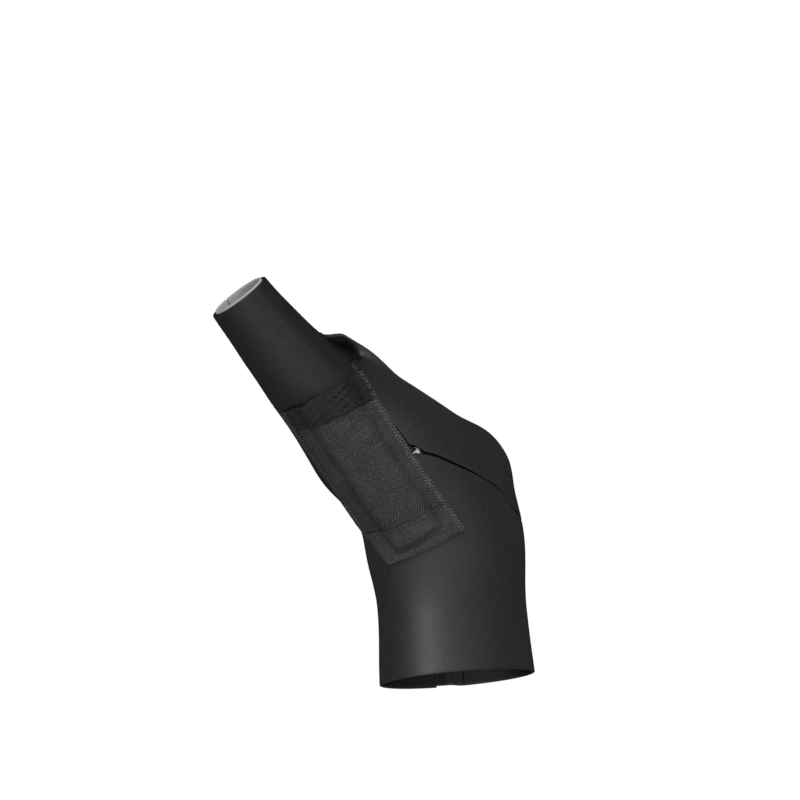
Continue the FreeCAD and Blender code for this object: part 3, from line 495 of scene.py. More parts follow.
class Net:
    def __init__(self, nt):
        self.nt = nt

    def math(self, op, a, b=None, c=None, clamp=False):
        n = self.nt.nodes.new("ShaderNodeMath")
        n.operation = op
        n.use_clamp = clamp
        for i, v in enumerate((a, b, c)):
            if v is None:
                continue
            if isinstance(v, (int, float)):
                n.inputs[i].default_value = v
            else:
                self.nt.links.new(v, n.inputs[i])
        return n.outputs[0]

    def uv(self):
        n = self.nt.nodes.new("ShaderNodeTexCoord")
        s = self.nt.nodes.new("ShaderNodeSeparateXYZ")
        self.nt.links.new(n.outputs["UV"], s.inputs[0])
        x = self.math("MULTIPLY", s.outputs[0], 10.0)
        y = self.math("MULTIPLY", s.outputs[1], 10.0)
        return x, y, n

    def noise(self, vec, scale, detail=3.0, rough=0.55, dist=0.0):
        n = self.nt.nodes.new("ShaderNodeTexNoise")
        self.nt.links.new(vec, n.inputs["Vector"])
        n.inputs["Scale"].default_value = scale
        n.inputs["Detail"].default_value = detail
        n.inputs["Roughness"].default_value = rough
        n.inputs["Distortion"].default_value = dist
        return n.outputs[0]

    def voronoi(self, vec, scale, feature="F1"):
        n = self.nt.nodes.new("ShaderNodeTexVoronoi")
        n.feature = feature
        self.nt.links.new(vec, n.inputs["Vector"])
        n.inputs["Scale"].default_value = scale
        return n

    def ramp(self, fac, stops):
        n = self.nt.nodes.new("ShaderNodeValToRGB")
        el = n.color_ramp.elements
        while len(el) < len(stops):
            el.new(0.5)
        for e, (p, c) in zip(el, stops):
            e.position = p
            e.color = (c[0], c[1], c[2], 1.0)
        self.nt.links.new(fac, n.inputs[0])
        return n.outputs[0]

    def mix(self, fac, a, b):
        n = self.nt.nodes.new("ShaderNodeMix")
        n.data_type = "RGBA"
        for i, v in ((0, fac), (6, a), (7, b)):
            if isinstance(v, (tuple, list)):
                n.inputs[i].default_value = (v[0], v[1], v[2], 1.0)
            elif isinstance(v, (int, float)):
                n.inputs[i].default_value = v
            else:
                self.nt.links.new(v, n.inputs[i])
        return n.outputs[2]

    def bump(self, height, strength, dist, normal=None):
        n = self.nt.nodes.new("ShaderNodeBump")
        n.inputs["Strength"].default_value = strength
        n.inputs["Distance"].default_value = dist
        self.nt.links.new(height, n.inputs["Height"])
        if normal is not None:
            self.nt.links.new(normal, n.inputs["Normal"])
        return n.outputs[0]

    def scalemap(self, v, x=1, y=1, z=1, rot=0):
        n = self.nt.nodes.new("ShaderNodeMapping")
        n.inputs["Scale"].default_value = (x, y, z)
        n.inputs["Rotation"].default_value = (0, 0, rot)
        self.nt.links.new(v, n.inputs["Vector"])
        return n.outputs[0]

    def sin(self, x, period, phase=None):
        a = self.math("MULTIPLY", x, 2 * math.pi / period)
        if phase is not None:
            a = self.math("ADD", a, phase)
        return self.math("SINE", a)


def cloth_gloss(n, bs, level, power=2.0):
    lw = n.nt.nodes.new("ShaderNodeLayerWeight")
    lw.inputs["Blend"].default_value = 0.5
    k = n.math("POWER", n.math("SUBTRACT", 1.0, lw.outputs["Facing"], clamp=True), power)
    n.nt.links.new(n.math("MULTIPLY", k, level), bs.inputs["Specular IOR Level"])


def laminate(name, dark=1.0, pitch=0.7, gloss=0.34):
    """Elastic laminate: a very fine knit face, soft satin sheen, faint uneven handling marks."""
    m, nt, bs = new_mat(name)
    n = Net(nt)
    x, y, tc = n.uv()
    obj = tc.outputs["Object"]
    big = n.noise(obj, 55.0, 4.0, 0.6)
    mid = n.noise(obj, 820.0, 4.0, 0.7)
    # knit wales and courses
    wob = n.math("MULTIPLY", n.sin(y, pitch * 0.9), 0.9)
    wale = n.sin(x, pitch, wob)
    course = n.sin(y, pitch * 0.9)
    knit = n.math("MULTIPLY_ADD", wale, 0.6, n.math("MULTIPLY", course, 0.4))
    fuzz = n.noise(obj, 2600.0, 2.0, 0.7)
    c = n.ramp(big, [(0.30, (0.0022 * dark, 0.0022 * dark, 0.0023 * dark)), (0.70, (0.0036 * dark, 0.0036 * dark, 0.0038 * dark))])
    k01 = n.math("MULTIPLY_ADD", knit, 0.5, 0.5, clamp=True)
    c2 = n.mix(n.math("MULTIPLY", k01, 0.3), c, (0.0065, 0.0065, 0.0068))
    c3 = n.mix(n.math("MULTIPLY", n.math("SUBTRACT", mid, 0.48, clamp=True), 1.8, clamp=True), c2, (0.014, 0.014, 0.0145))
    nt.links.new(c3, bs.inputs["Base Color"])
    rough = n.math("MULTIPLY_ADD", big, 0.10, 0.40)
    nt.links.new(n.math("MULTIPLY_ADD", fuzz, 0.08, rough), bs.inputs["Roughness"])
    cloth_gloss(n, bs, gloss, 3.0)
    b1 = n.bump(knit, 0.10, 0.0001)
    b2 = n.bump(fuzz, 0.10, 0.00010, b1)
    b3 = n.bump(n.noise(obj, 90.0, 3.0, 0.5), 0.16, 0.0009, b2)
    nt.links.new(b3, bs.inputs["Normal"])
    return m


def core_mat():
    """The cut edge: pale foam core with fine cells and dark skin fibres."""
    m, nt, bs = new_mat("laminate_core")
    n = Net(nt)
    x, y, tc = n.uv()
    v = n.voronoi(tc.outputs["Object"], 3200.0)
    c = n.ramp(v.outputs[0], [(0.0, (0.10, 0.10, 0.10)), (0.45, (0.21, 0.207, 0.205)), (1.0, (0.27, 0.267, 0.265))])
    nt.links.new(c, bs.inputs["Base Color"])
    bs.inputs["Roughness"].default_value = 0.85
    nt.links.new(n.bump(v.outputs[0], 0.5, 0.0002), bs.inputs["Normal"])
    return m


def lining_mat(name="lining_knit", k=1.0):
    """Light-grey brushed knit lining."""
    m, nt, bs = new_mat(name)
    n = Net(nt)
    x, y, tc = n.uv()
    wale = n.sin(x, 0.45, n.math("MULTIPLY", n.sin(y, 0.5), 1.0))
    k01 = n.math("MULTIPLY_ADD", wale, 0.5, 0.5, clamp=True)
    ns = n.noise(tc.outputs["Object"], 900.0, 3.0, 0.65)
    c = n.mix(k01, (0.11 * k, 0.108 * k, 0.106 * k), (0.21 * k, 0.207 * k, 0.203 * k))
    c = n.mix(n.math("MULTIPLY", ns, 0.5), c, (0.27 * k, 0.266 * k, 0.262 * k))
    nt.links.new(c, bs.inputs["Base Color"])
    bs.inputs["Roughness"].default_value = 0.82
    bs.inputs["Sheen Weight"].default_value = 0.05
    b = n.bump(k01, 0.5, 0.00012)
    nt.links.new(n.bump(ns, 0.3, 0.0002, b), bs.inputs["Normal"])
    return m


def twill(name, light=1.0, pitch=0.95, painted_glint_strength=1.0):
    """Twill webbing: diagonal ribs broken into single yarns, in two directions that swap in patches, with glinting
    filaments painted into the colour as bright dashes: painted highlights.
    """
    m, nt, bs = new_mat(name)
    n = Net(nt)
    x, y, tc = n.uv()
    obj = tc.outputs["Object"]
    wob = n.math("MULTIPLY", n.math("SUBTRACT", n.noise(obj, 160.0, 2.0, 0.5), 0.5), 1.8)
    # herringbone: the slope of the rib swaps with the zone
    z1 = n.noise(obj, 75.0, 1.0, 0.4)
    zone = n.math("GREATER_THAN", z1, 0.53)
    sgn = n.math("MULTIPLY_ADD", zone, -2.0, 1.0)
    diag = n.math("MULTIPLY_ADD", n.math("MULTIPLY", y, sgn), 1.25, x)
    rib = n.sin(diag, pitch, wob)
    yarn = n.sin(n.math("MULTIPLY_ADD", n.math("MULTIPLY", y, sgn), -0.8, x), pitch * 0.62)
    h = n.math("MULTIPLY_ADD", rib, 0.62, n.math("MULTIPLY", yarn, 0.38))
    h01 = n.math("MULTIPLY_ADD", h, 0.5, 0.5, clamp=True)
    fuzz = n.noise(obj, 2300.0, 2.0, 0.7)
    patch = n.noise(obj, 130.0, 4.0, 0.62)
    base = n.mix(h01, (0.0030 * light, 0.0030 * light, 0.0031 * light), (0.022 * light, 0.022 * light, 0.0225 * light))
    base = n.mix(n.math("MULTIPLY", n.math("SUBTRACT", patch, 0.42, clamp=True), 1.4, clamp=True), base, (0.026 * light, 0.026 * light, 0.0265 * light))
    # painted glints: bright dashes of colour 0.12 on the crests of rib and yarn, in noisy patches, scaled by the last
    # argument
    painted_glint_dash = n.math("MULTIPLY", n.math("MULTIPLY", n.math("SUBTRACT", rib, 0.25), 1.6, clamp=True), n.math("MULTIPLY", n.math("SUBTRACT", yarn, 0.1), 1.6, clamp=True))
    painted_glint_patches = n.math("MULTIPLY", n.math("SUBTRACT", n.noise(obj, 900.0, 2.0, 0.7), 0.40, clamp=True), 4.0, clamp=True)
    base = n.mix(n.math("MULTIPLY", n.math("MULTIPLY", painted_glint_dash, painted_glint_patches), 0.85 * painted_glint_strength, clamp=True), base, (0.12, 0.12, 0.122))
    nt.links.new(base, bs.inputs["Base Color"])
    nt.links.new(n.math("MULTIPLY_ADD", h01, -0.18, 0.74), bs.inputs["Roughness"])
    cloth_gloss(n, bs, 0.16, 3.0)
    b = n.bump(h, 0.75, 0.00028)
    b = n.bump(fuzz, 0.28, 0.00018, b)
    b = n.bump(n.noise(obj, 240.0, 3.0, 0.5), 0.25, 0.0007, b)
    nt.links.new(b, bs.inputs["Normal"])
    return m


def thread_mat_painted_glints(name, lo=0.006, hi=0.20):
    """Twisted polyester thread; its bright filaments are painted glints, mixed into the colour from lo up to hi."""
    m, nt, bs = new_mat(name)
    n = Net(nt)
    x, y, tc = n.uv()
    tw = n.sin(n.math("MULTIPLY_ADD", y, 0.8, x), 0.5)
    t01 = n.math("MULTIPLY_ADD", tw, 0.5, 0.5, clamp=True)
    ns = n.noise(tc.outputs["Object"], 700.0, 2.0, 0.6)
    # painted glints: the twist crests, broken up by noise, take colour hi
    f = n.math("MULTIPLY", n.math("POWER", t01, 1.5), n.math("MULTIPLY_ADD", ns, 1.6, -0.25, clamp=True), clamp=True)
    nt.links.new(n.mix(f, (lo, lo, lo * 1.03), (hi, hi, hi * 1.02)), bs.inputs["Base Color"])
    bs.inputs["Roughness"].default_value = 0.4
    bs.inputs["Specular IOR Level"].default_value = 0.3
    nt.links.new(n.bump(tw, 0.6, 0.00015), bs.inputs["Normal"])
    return m


def loop_mat():
    """Loop pile: napped curls."""
    m, nt, bs = new_mat("loop_pile")
    n = Net(nt)
    x, y, tc = n.uv()
    obj = tc.outputs["Object"]
    v = n.voronoi(obj, 900.0)
    curl = n.noise(obj, 700.0, 4.0, 0.7, 2.5)
    c = n.mix(curl, (0.005, 0.005, 0.005), (0.028, 0.028, 0.029))
    nt.links.new(c, bs.inputs["Base Color"])
    bs.inputs["Roughness"].default_value = 0.9
    bs.inputs["Sheen Weight"].default_value = 0.04
    bs.inputs["Specular IOR Level"].default_value = 0.1
    b = n.bump(v.outputs[0], 0.7, 0.0004)
    nt.links.new(n.bump(curl, 0.8, 0.0005, b), bs.inputs["Normal"])
    return m


def hook_mat():
    m, nt, bs = new_mat("hook_nylon")
    n = Net(nt)
    x, y, tc = n.uv()
    ns = n.noise(tc.outputs["Object"], 500.0, 3.0, 0.6)
    nt.links.new(n.mix(ns, (0.005, 0.005, 0.0053), (0.02, 0.02, 0.021)), bs.inputs["Base Color"])
    bs.inputs["Specular IOR Level"].default_value = 0.3
    nt.links.new(n.math("MULTIPLY_ADD", ns, 0.2, 0.3), bs.inputs["Roughness"])
    nt.links.new(n.bump(ns, 0.3, 0.0002), bs.inputs["Normal"])
    return m


def metal_mat():
    """Brushed aluminium strip, brushed along its length, with handling scratches."""
    m, nt, bs = new_mat("brushed_stay")
    n = Net(nt)
    tc = nt.nodes.new("ShaderNodeTexCoord")
    obj = tc.outputs["Object"]
    rot = nt.nodes.new("ShaderNodeVectorRotate")
    rot.rotation_type = "AXIS_ANGLE"
    q = Vector(AX).rotation_difference(Vector((0, 0, 1)))
    rot.inputs["Axis"].default_value = tuple(q.axis)
    rot.inputs["Angle"].default_value = q.angle
    nt.links.new(obj, rot.inputs["Vector"])
    brushed = n.noise(n.scalemap(rot.outputs[0], 2200, 2200, 40), 1.0, 3.0, 0.6)
    big = n.noise(obj, 120.0, 3.0, 0.5)
    c = n.mix(brushed, (0.20, 0.20, 0.205), (0.34, 0.34, 0.345))
    nt.links.new(n.mix(n.math("MULTIPLY", big, 0.3), c, (0.16, 0.16, 0.165)), bs.inputs["Base Color"])
    bs.inputs["Metallic"].default_value = 1.0
    nt.links.new(n.math("MULTIPLY_ADD", brushed, 0.22, 0.26), bs.inputs["Roughness"])
    nt.links.new(n.bump(brushed, 0.25, 0.0001), bs.inputs["Normal"])
    return m


def cap_mat():
    """Dipped vinyl: soft gloss with small sags and dust marks."""
    m, nt, bs = new_mat("dipped_vinyl")
    n = Net(nt)
    tc = nt.nodes.new("ShaderNodeTexCoord")
    obj = tc.outputs["Object"]
    a = n.noise(obj, 260.0, 3.0, 0.5)
    b = n.noise(obj, 1400.0, 2.0, 0.6)
    nt.links.new(n.mix(a, (0.008, 0.008, 0.0083), (0.020, 0.020, 0.0205)), bs.inputs["Base Color"])
    nt.links.new(n.math("MULTIPLY_ADD", b, 0.25, 0.3), bs.inputs["Roughness"])
    nt.links.new(n.bump(a, 0.4, 0.0006), bs.inputs["Normal"])
    return m


LAM = laminate("elastic_laminate")
# the sleeve's copy of the laminate: its gloss is duller because the sleeve is stretched tightest, and its colour is
# darkened to 0.9 as painted shade
LAM_SLEEVE_SHADED = laminate("elastic_laminate_sleeve_shaded", 0.9, 0.7, 0.20)
CORE = core_mat()
LINING = lining_mat()
PALE = lining_mat("notch_lining", 3.9)
TWILL = twill("pocket_twill", 1.2)
BACK = twill("pocket_back_twill", 0.8, 0.8, 0.4)
# the two hems are copies of one twill: the top hem darkened to 0.5 with few glints as painted shade, the bottom hem
# lightened to 1.5 with more glints as painted light
HEM_SHADED = twill("top_hem_webbing_painted_shade", 0.5, 0.8, 0.3)
HEM_LIT = twill("bottom_hem_twill_painted_light", 1.5, 0.8, 1.3)
# THREAD's filaments reach colour 0.20: strong painted glints; THREAD_DIM is the same black thread with faint painted
# glints
THREAD = thread_mat_painted_glints("pocket_thread_painted_glints")
THREAD_DIM = thread_mat_painted_glints("dark_thread", 0.004, 0.022)
TAPE = twill("seam_tape_twill", 0.7, 0.7, 0.3)
LOOP, HOOK = loop_mat(), hook_mat()
METAL, CAP = metal_mat(), cap_mat()

N = frame["nodes"]
for node, mat in (("support_stay", METAL), ("stay_cap_thumb_end", CAP), ("stay_cap_wrist_end", CAP)):
    o = N[node]
    if len(o.material_slots) == 0:
        o.data.materials.append(mat)
    for sl in o.material_slots:
        sl.material = mat

rng = np.random.default_rng(11)


def wavy(P, amp, scale, seed):
    """Smooth low relief from a few sine waves, in mm."""
    g = np.random.default_rng(seed)
    out = np.zeros(P.shape[:-1])
    for _ in range(7):
        k = g.normal(size=3)
        k *= (0.6 + g.random() * 1.2) / (np.linalg.norm(k) * scale)
        out += np.sin(P @ k * 2 * math.pi + g.random() * 6.28) / 7.0
    return out * amp * 1.8


# ---------------------------------------------------------------- laminate pieces
# thumb sleeve
GAPA = 0.42


def sleeve_fn(u, v):
    psi = SEAM + 0.35 + 359.3 * u
    base = sleeve_edge(psi) + GAPA
    return on_thumb(psi, lerp(base, TOP_AL, v))


U = shares(85.0, 0.7)
V = shares(62.0, 0.9)
G = fine(sleeve_fn, U, V, 73, 26)
sleeve = sheet("thumb_sleeve_laminate", G, LAM_LOW, LAM_TOP, [LAM_SLEEVE_SHADED, CORE], 0.4, "", wavy(G, 0.12, 26.0, 1))
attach(sleeve, "brace"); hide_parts("thumb_sleeve")

# lining at the thumb opening, turned slightly proud of the laminate
U = shares(70.0, 1.0)
V = np.linspace(0, 1, 16)
G = fine(lambda u, v: on_thumb(SEAM + 0.8 + 358.4 * u, lerp(TOP_AL - 9.0, TOP_AL + 0.75, v)), U, V, 60, 8)
lining = sheet("thumb_opening_lining_knit", G, -0.5, 0.02, [LINING, LINING], 0.24)
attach(lining, "brace"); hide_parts("thumb_opening_lining")

# the web: the strap is pulled taut across the fork of thumb and hand
FORK = np.array([-26.7, -23.7, 121.8])
PULL = np.array([-10.0, -13.5, 5.2])


def taut(G, spread, share, cling):
    w = np.exp(-((G - FORK) ** 2).sum(-1) / (2 * spread ** 2)) * share
    G2 = G + PULL * w[..., None]
    for _ in range(2):
        need = 1.62 * ramp(w, 0.25, 0.7)
        n, m = grad(G2)
        gap = form(G2).reshape(w.shape) / m
        d = need - gap
        G2 = G2 + n * np.where(d > 0, d, d * cling)[..., None]
    return G2


# hand strap: main length, fixed to the brace
NC, NR = 12, 28
SPLIT = 424.0
down = crease_line[::-1]


def notch(f):
    """How far the strap's lower edge stands clear of the band: a small notch where the slit begins, a fine gap after it, closing, and opening again round the far side."""
    f = np.asarray(f, float)
    a = 2.0 * np.clip(1 - (f - S[0]) / 6.5, 0, 1) * ramp(f, S[0] - 2.6, S[0] + 0.2)
    b = 0.45 * ramp(f, S[0] - 2.0, S[0] + 3.0) * (1 - ramp(f, 296.0, 318.0))
    c = 1.2 * ramp(f, 334.0, 356.0) * (1 - ramp(f, 376.0, 400.0))
    return a + b + c


def strap_fn(u, v, end=SPLIT):
    i = u * 40.0
    iend = NC + NR * (end - S[0]) / (STRAP_END - S[0])
    # even steps along the edge
    i = u * iend
    t = np.clip(lerp(0.03, 1.0, i / NC), 0, 1)
    cf, cz = polyline(down, t)
    f = lerp(S[0], STRAP_END, (i - NC) / NR)
    lf = np.where(i <= NC, cf, f)
    fs = np.maximum(f, S[0])
    lz = np.where(i <= NC, cz, curve_z(slit_w, fs) + 0.1 * np.clip((i - NC) / 2, 0, 1)) + notch(np.where(i <= NC, cf, fs))
    hf = herm([0, NC, NC + NR], [W[0] + 2.2, S[0] + 14.0, STRAP_END], i)
    hz = curve_z(top_w, hf)
    return on_wrist(lerp(lf, hf, v), lerp(lz, hz, v))


U = shares(185.0, 0.8)
V = shares(28.0, 0.7)
G = taut(fine(strap_fn, U, V, 160, 18), 8.0, np.broadcast_to((V ** 0.8)[None, :], (len(U), len(V))), np.broadcast_to((1 - ramp(U * 185.0, 0.5, 9.0))[:, None], (len(U), len(V))))
strap = sheet("hand_strap_laminate", G, LAM_LOW, LAM_TOP, [LAM, CORE], 0.36, "", wavy(G, 0.12, 30.0, 2) * np.clip(edge_distance(G)[2] / 6.0, 0, 1), own_normals=True)
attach(strap, "brace"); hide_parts("hand_strap")

# bonded tape of the same laminate behind every butt seam
def ribbon(name, P, half, low, top, mat, body="brace"):
    L = np.concatenate([[0], np.cumsum(np.sqrt(((P[1:] - P[:-1]) ** 2).sum(1)))])
    n = max(8, int(L[-1] / 0.9))
    t = np.linspace(0, L[-1], n)
    P = np.stack([np.interp(t, L, P[:, k]) for k in range(3)], 1)
    for _ in range(6):
        P[1:-1] = (P[:-2] + 2 * P[1:-1] + P[2:]) / 4
    N, _ = grad(P)
    T = np.gradient(P, axis=0)
    B = np.cross(T, N)
    B /= np.sqrt((B ** 2).sum(1))[:, None]
    for _ in range(10):
        B[1:-1] = (B[:-2] + 2 * B[1:-1] + B[2:]) / 4
    o = np.linspace(-half, half, 9)
    G = settle(P[:, None, :] + B[:, None, :] * o[None, :, None], 3)
    ob = sheet(name, G, low, top, [mat, mat], 0.2)
    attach(ob, body)
    return ob


_t = np.linspace(0.0, 1.0, 60)
ribbon("crease_seam_backing", on_wrist(*polyline(crease_line, _t * 0.74)), 2.0, -0.9, 0.03, LAM)
ribbon("palm_seam_backing", on_wrist(*polyline(palm_line, _t * 0.8)), 2.0, -0.9, 0.03, LAM)
_p = np.linspace(PSI1 + 0.5, PSI0 + 359.5, 90)
ribbon("base_seam_backing", on_thumb(_p, sleeve_edge(_p)), 2.4, -0.9, 0.03, LAM)

# a layer of the same laminate behind the slit, and the pale lining seen in its notch
U = shares(62.0, 1.0)
V = shares(8.0, 0.7)
G = fine(lambda u, v: on_wrist(lerp(S[0] + 4.5, 436.0, u), curve_z(slit_w, lerp(S[0] + 4.5, 436.0, u)) + lerp(-3.5, 4.5, v)), U, V, 60, 8)
under = sheet("slit_underlap_laminate", G, -0.9, 0.04, [LAM, LAM], 0.3)
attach(under, "brace")
U = shares(9.0, 0.6, 0.1)
V = shares(8.0, 0.6, 0.1)
G = fine(lambda u, v: on_wrist(lerp(S[0] - 7.0, S[0] + 11.0, u), lerp(73.0, 82.0, v)), U, V, 10, 8)
notch_l = sheet("slit_notch_lining_knit", G, -1.3, -0.95, [PALE, PALE], 0.1)
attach(notch_l, "brace")

sb = lambda f: curve_z(slit_w, f) + 0.2 + 1.2 * ramp(f, STRAP_END, TAB_END)
stp = lambda f: curve_z(top_w, f) - 0.6 * ramp(f, STRAP_END, TAB_END)


def rounded(lo, hi, f, f_end, r_deg, mmdeg, r):
    """Pulls a tab's edges in near its free end, for round corners of radius r mm."""
    d = (f_end - f) * mmdeg
    k = r - np.sqrt(np.maximum(0.0, r * r - np.clip(r - d, 0, r) ** 2))
    return lo + k, hi - k


def tab_fn(f0, f1, zb, zt, r):
    def fn(u, v):
        f = lerp(f0, f1, u)
        lo, hi = rounded(zb(f), zt(f), f, f1 + 0.4, 0, 0.42, r)
        return on_wrist(f, lerp(lo, hi, v))
    return fn


def tab_heights(F, f0, rise):
    k = 3.0 - LAM_LOW
    low = LAM_LOW + k * ramp(F, f0 + 0.5, f0 + rise)
    return low, low + LAM_TOP - LAM_LOW


U = shares(40.0, 0.6)
V = shares(15.0, 0.6)
G = fine(tab_fn(SPLIT + 0.25, TAB_END, sb, stp, 5.0), U, V, 60, 10)
F = np.broadcast_to((SPLIT + 0.25 + (TAB_END - SPLIT - 0.25) * U)[:, None], G.shape[:2])
lo, hi = tab_heights(F, STRAP_END + 0.7, 9.5)
strap_tab = sheet("hand_strap_end_laminate", G, lo, hi, [LAM, CORE], 0.36, "u1")
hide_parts("hand_strap_tab")

# palm panel
def panel_fn(u, v):
    v = v * (1 - 0.045 * np.exp(-(u / 0.05) ** 2))       # its corner at the fork is cut round
    fade = (1 - u) ** 6
    a, b = u ** 1.25, u ** 0.85
    f0 = lerp(SP[0], PANEL_END, a)
    z0 = curve_z(palm_slit, f0) + 0.1
    f1 = lerp(W[0] - 0.4, PANEL_END, b)
    z1 = curve_z(palm_top, f1)
    qf, qz = polyline(palm_line, v)
    lf, lz = lerp(SP[0], W[0] - 0.4, v), lerp(SP[1], W[1], v)
    return on_wrist(lerp(f0, f1, v) + fade * (qf - lf), lerp(z0, z1, v) + fade * (qz - lz))


U = shares(60.0, 0.8)
V = shares(45.0, 0.8)
G = fine(panel_fn, U, V, 70, 40)
panel = sheet("palm_panel_laminate", G, LAM_LOW, LAM_TOP, [LAM, CORE], 0.36, "u1", wavy(G, 0.12, 30.0, 3))
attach(panel, "brace"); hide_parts("palm_panel")

# wrist band
BSPLIT = 444.0
bstops = np.array([0.0, 0.195, 0.435, 1.0])
bphis = np.array([BAND_START, SP[0], S[0], BSPLIT])


def band_fn(u, v):
    f = np.interp(u, bstops, bphis)
    z = lerp(0.0, band_edge(f), v)
    return on_wrist(f, z)


U = shares(150.0, 0.75)
V = shares(60.0, 0.75)
G = fine(band_fn, U, V, 150, 26)
G[:, 0, 2] = 0.0
# the pale core is the laminate's cut edge; it is kept to the last third of the top edge, where it stands in for the
# light that stretch of edge catches: a painted highlight
band = sheet("wrist_band_laminate", G, LAM_LOW, LAM_TOP, [LAM, CORE], 0.30, "v1", wavy(G, 0.14, 34.0, 4) * np.clip(edge_distance(G)[2] / 5.0, 0, 1), (0.66, 1.0))
me = band.data
co = np.empty(len(me.vertices) * 3)
me.vertices.foreach_get("co", co)
co = co.reshape(-1, 3)
co[:, 2] = np.maximum(co[:, 2], 0.0)
me.vertices.foreach_set("co", co.ravel())
me.update()
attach(band, "brace"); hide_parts("wrist_band")

bb = lambda f: 0.6 + 3.4 * ramp(f, BAND_END, BAND_TAB_END)
bt0 = lambda f: 48.2 - 4.5 * ramp(f, BAND_END, BAND_TAB_END)
bt = lambda f: lerp(band_edge(f), bt0(f), ramp(f, BSPLIT, BAND_END + 2))
blo = lambda f: lerp(0.0, bb(f), ramp(f, BSPLIT, BAND_END + 2))
U = shares(38.0, 0.6)
V = shares(46.0, 0.7)
G = fine(tab_fn(BSPLIT + 0.25, BAND_TAB_END, blo, bt, 8.0), U, V, 60, 16)
F = np.broadcast_to((BSPLIT + 0.25 + (BAND_TAB_END - BSPLIT - 0.25) * U)[:, None], G.shape[:2])
lo, hi = tab_heights(F, BAND_END + 0.7, 12.0)
band_tab = sheet("wrist_band_end_laminate", G, lo, hi, [LAM, CORE], 0.36, "u1")
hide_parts("wrist_band_tab")


def at(phi, z, h):
    p = on_wrist(phi, z)
    n, _ = grad(p)
    return (p + n * h) * M


z_s = 57.4
tuple(at(STRAP_END - 3.6, z_s, 1.0))
tuple(at(STRAP_END + 4.4, z_s, 1.0))
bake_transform(strap_tab)
tuple(at(BAND_END - 4.0, 24.8, 1.0))
tuple(at(BAND_END + 4.8, 24.8, 1.0))
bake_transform(band_tab)


# ---------------------------------------------------------------- hook and loop patches
def patch(name, f0, f1, zb, zt, low, top, mat, body, node, slot, r=0.2):
    Lu = 0.42 * (f1 - f0)
    U = shares(Lu, 0.8, r)
    Lv = float(zt(np.array(f0)) - zb(np.array(f0)))
    V = shares(Lv, 0.8, r)
    G = fine(lambda u, v: on_wrist(lerp(f0, f1, u), lerp(zb(lerp(f0, f1, u)), zt(lerp(f0, f1, u)), v)), U, V, 20, 12)
    o = sheet(name, G, low, top, [mat, mat], r)
    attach(o, body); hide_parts(node)
    return o, G


patch("palm_loop_pile", TAB_END - 39, TAB_END + 3, lambda f: sb(f) + 0.9, lambda f: stp(f) - 0.9, 1.58, 1.98, LOOP, "brace", "palm_panel_loop", "loop_tape")
patch("wrist_loop_pile", BAND_TAB_END - 41, BAND_TAB_END + 4, lambda f: bb(f) + 1.5, lambda f: bt0(f) - 1.5, 1.58, 1.98, LOOP, "brace", "wrist_band_loop", "loop_tape")
hook_s, Gs = patch("strap_hook_base", TAB_END - 36, TAB_END - 5, lambda f: sb(f) + 1.6, lambda f: stp(f) - 1.6, 2.62, 2.9, HOOK, "strap_tab", "hand_strap_hook", "hook_tape")
hook_b, Gb = patch("wrist_hook_base", BAND_TAB_END - 38, BAND_TAB_END - 6, lambda f: bb(f) + 3.6, lambda f: bt0(f) - 3.6, 2.62, 2.9, HOOK, "band_tab", "wrist_band_hook", "hook_tape")


def hooks(name, f0, f1, zb, zt, pitch, body):
    """Rows of small bent hooks on the underside of a hook tape."""
    fs = np.arange(f0 + 1.2, f1 - 1.0, pitch / 0.42)
    P, Q = [], []
    for i, f in enumerate(fs):
        z0, z1 = float(zb(np.array(f))) + 0.6, float(zt(np.array(f))) - 0.6
        for z in np.arange(z0, z1, pitch):
            P.append(f + (0.3 if int(z * 7) % 2 else -0.3))
            Q.append(z)
    B = on_wrist(np.array(P), np.array(Q))
    n, _ = grad(B)
    up = np.array([0.0, 0.0, 1.0])
    paths = []
    for k in range(len(B)):
        s = 1.0 if k % 2 else -1.0
        b, m = B[k], n[k]
        t = np.cross(m, up); t /= np.linalg.norm(t)
        paths.append([b + m * 2.66, b + m * 2.40, b + m * 2.2 + t * 0.06 * s, b + m * 2.13 + t * 0.2 * s, b + m * 2.2 + t * 0.34 * s])
    o = tubes(name, paths, 0.09, [HOOK], 4)
    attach(o, body)
    return o


hooks("strap_hooks", TAB_END - 36, TAB_END - 5, lambda f: sb(f) + 1.6, lambda f: stp(f) - 1.6, 0.9, "strap_tab")
hooks("wrist_hooks", BAND_TAB_END - 38, BAND_TAB_END - 6, lambda f: bb(f) + 3.6, lambda f: bt0(f) - 3.6, 0.95, "band_tab")


# ---------------------------------------------------------------- stitches
def stitch_line(P, H, pitch, gap, radius, arch=0.5):
    """Running stitches along surface points P with heights H (mm): each dips at both ends."""
    n, _ = grad(P)
    L = np.concatenate([[0], np.cumsum(np.sqrt(((P[1:] - P[:-1]) ** 2).sum(1)))])
    paths = []
    s = gap
    while s + pitch - gap < L[-1]:
        ts = np.linspace(s, s + pitch - gap, 5)
        pts = np.stack([np.interp(ts, L, P[:, k]) for k in range(3)], 1)
        nn = np.stack([np.interp(ts, L, n[:, k]) for k in range(3)], 1)
        hh = np.interp(ts, L, np.broadcast_to(H, L.shape))
        e = np.array([-1.0, 0.35, 0.7, 0.35, -1.0]) * radius * arch * 2
        paths.append(pts + nn * (hh + e)[:, None])
        s += pitch
    return paths


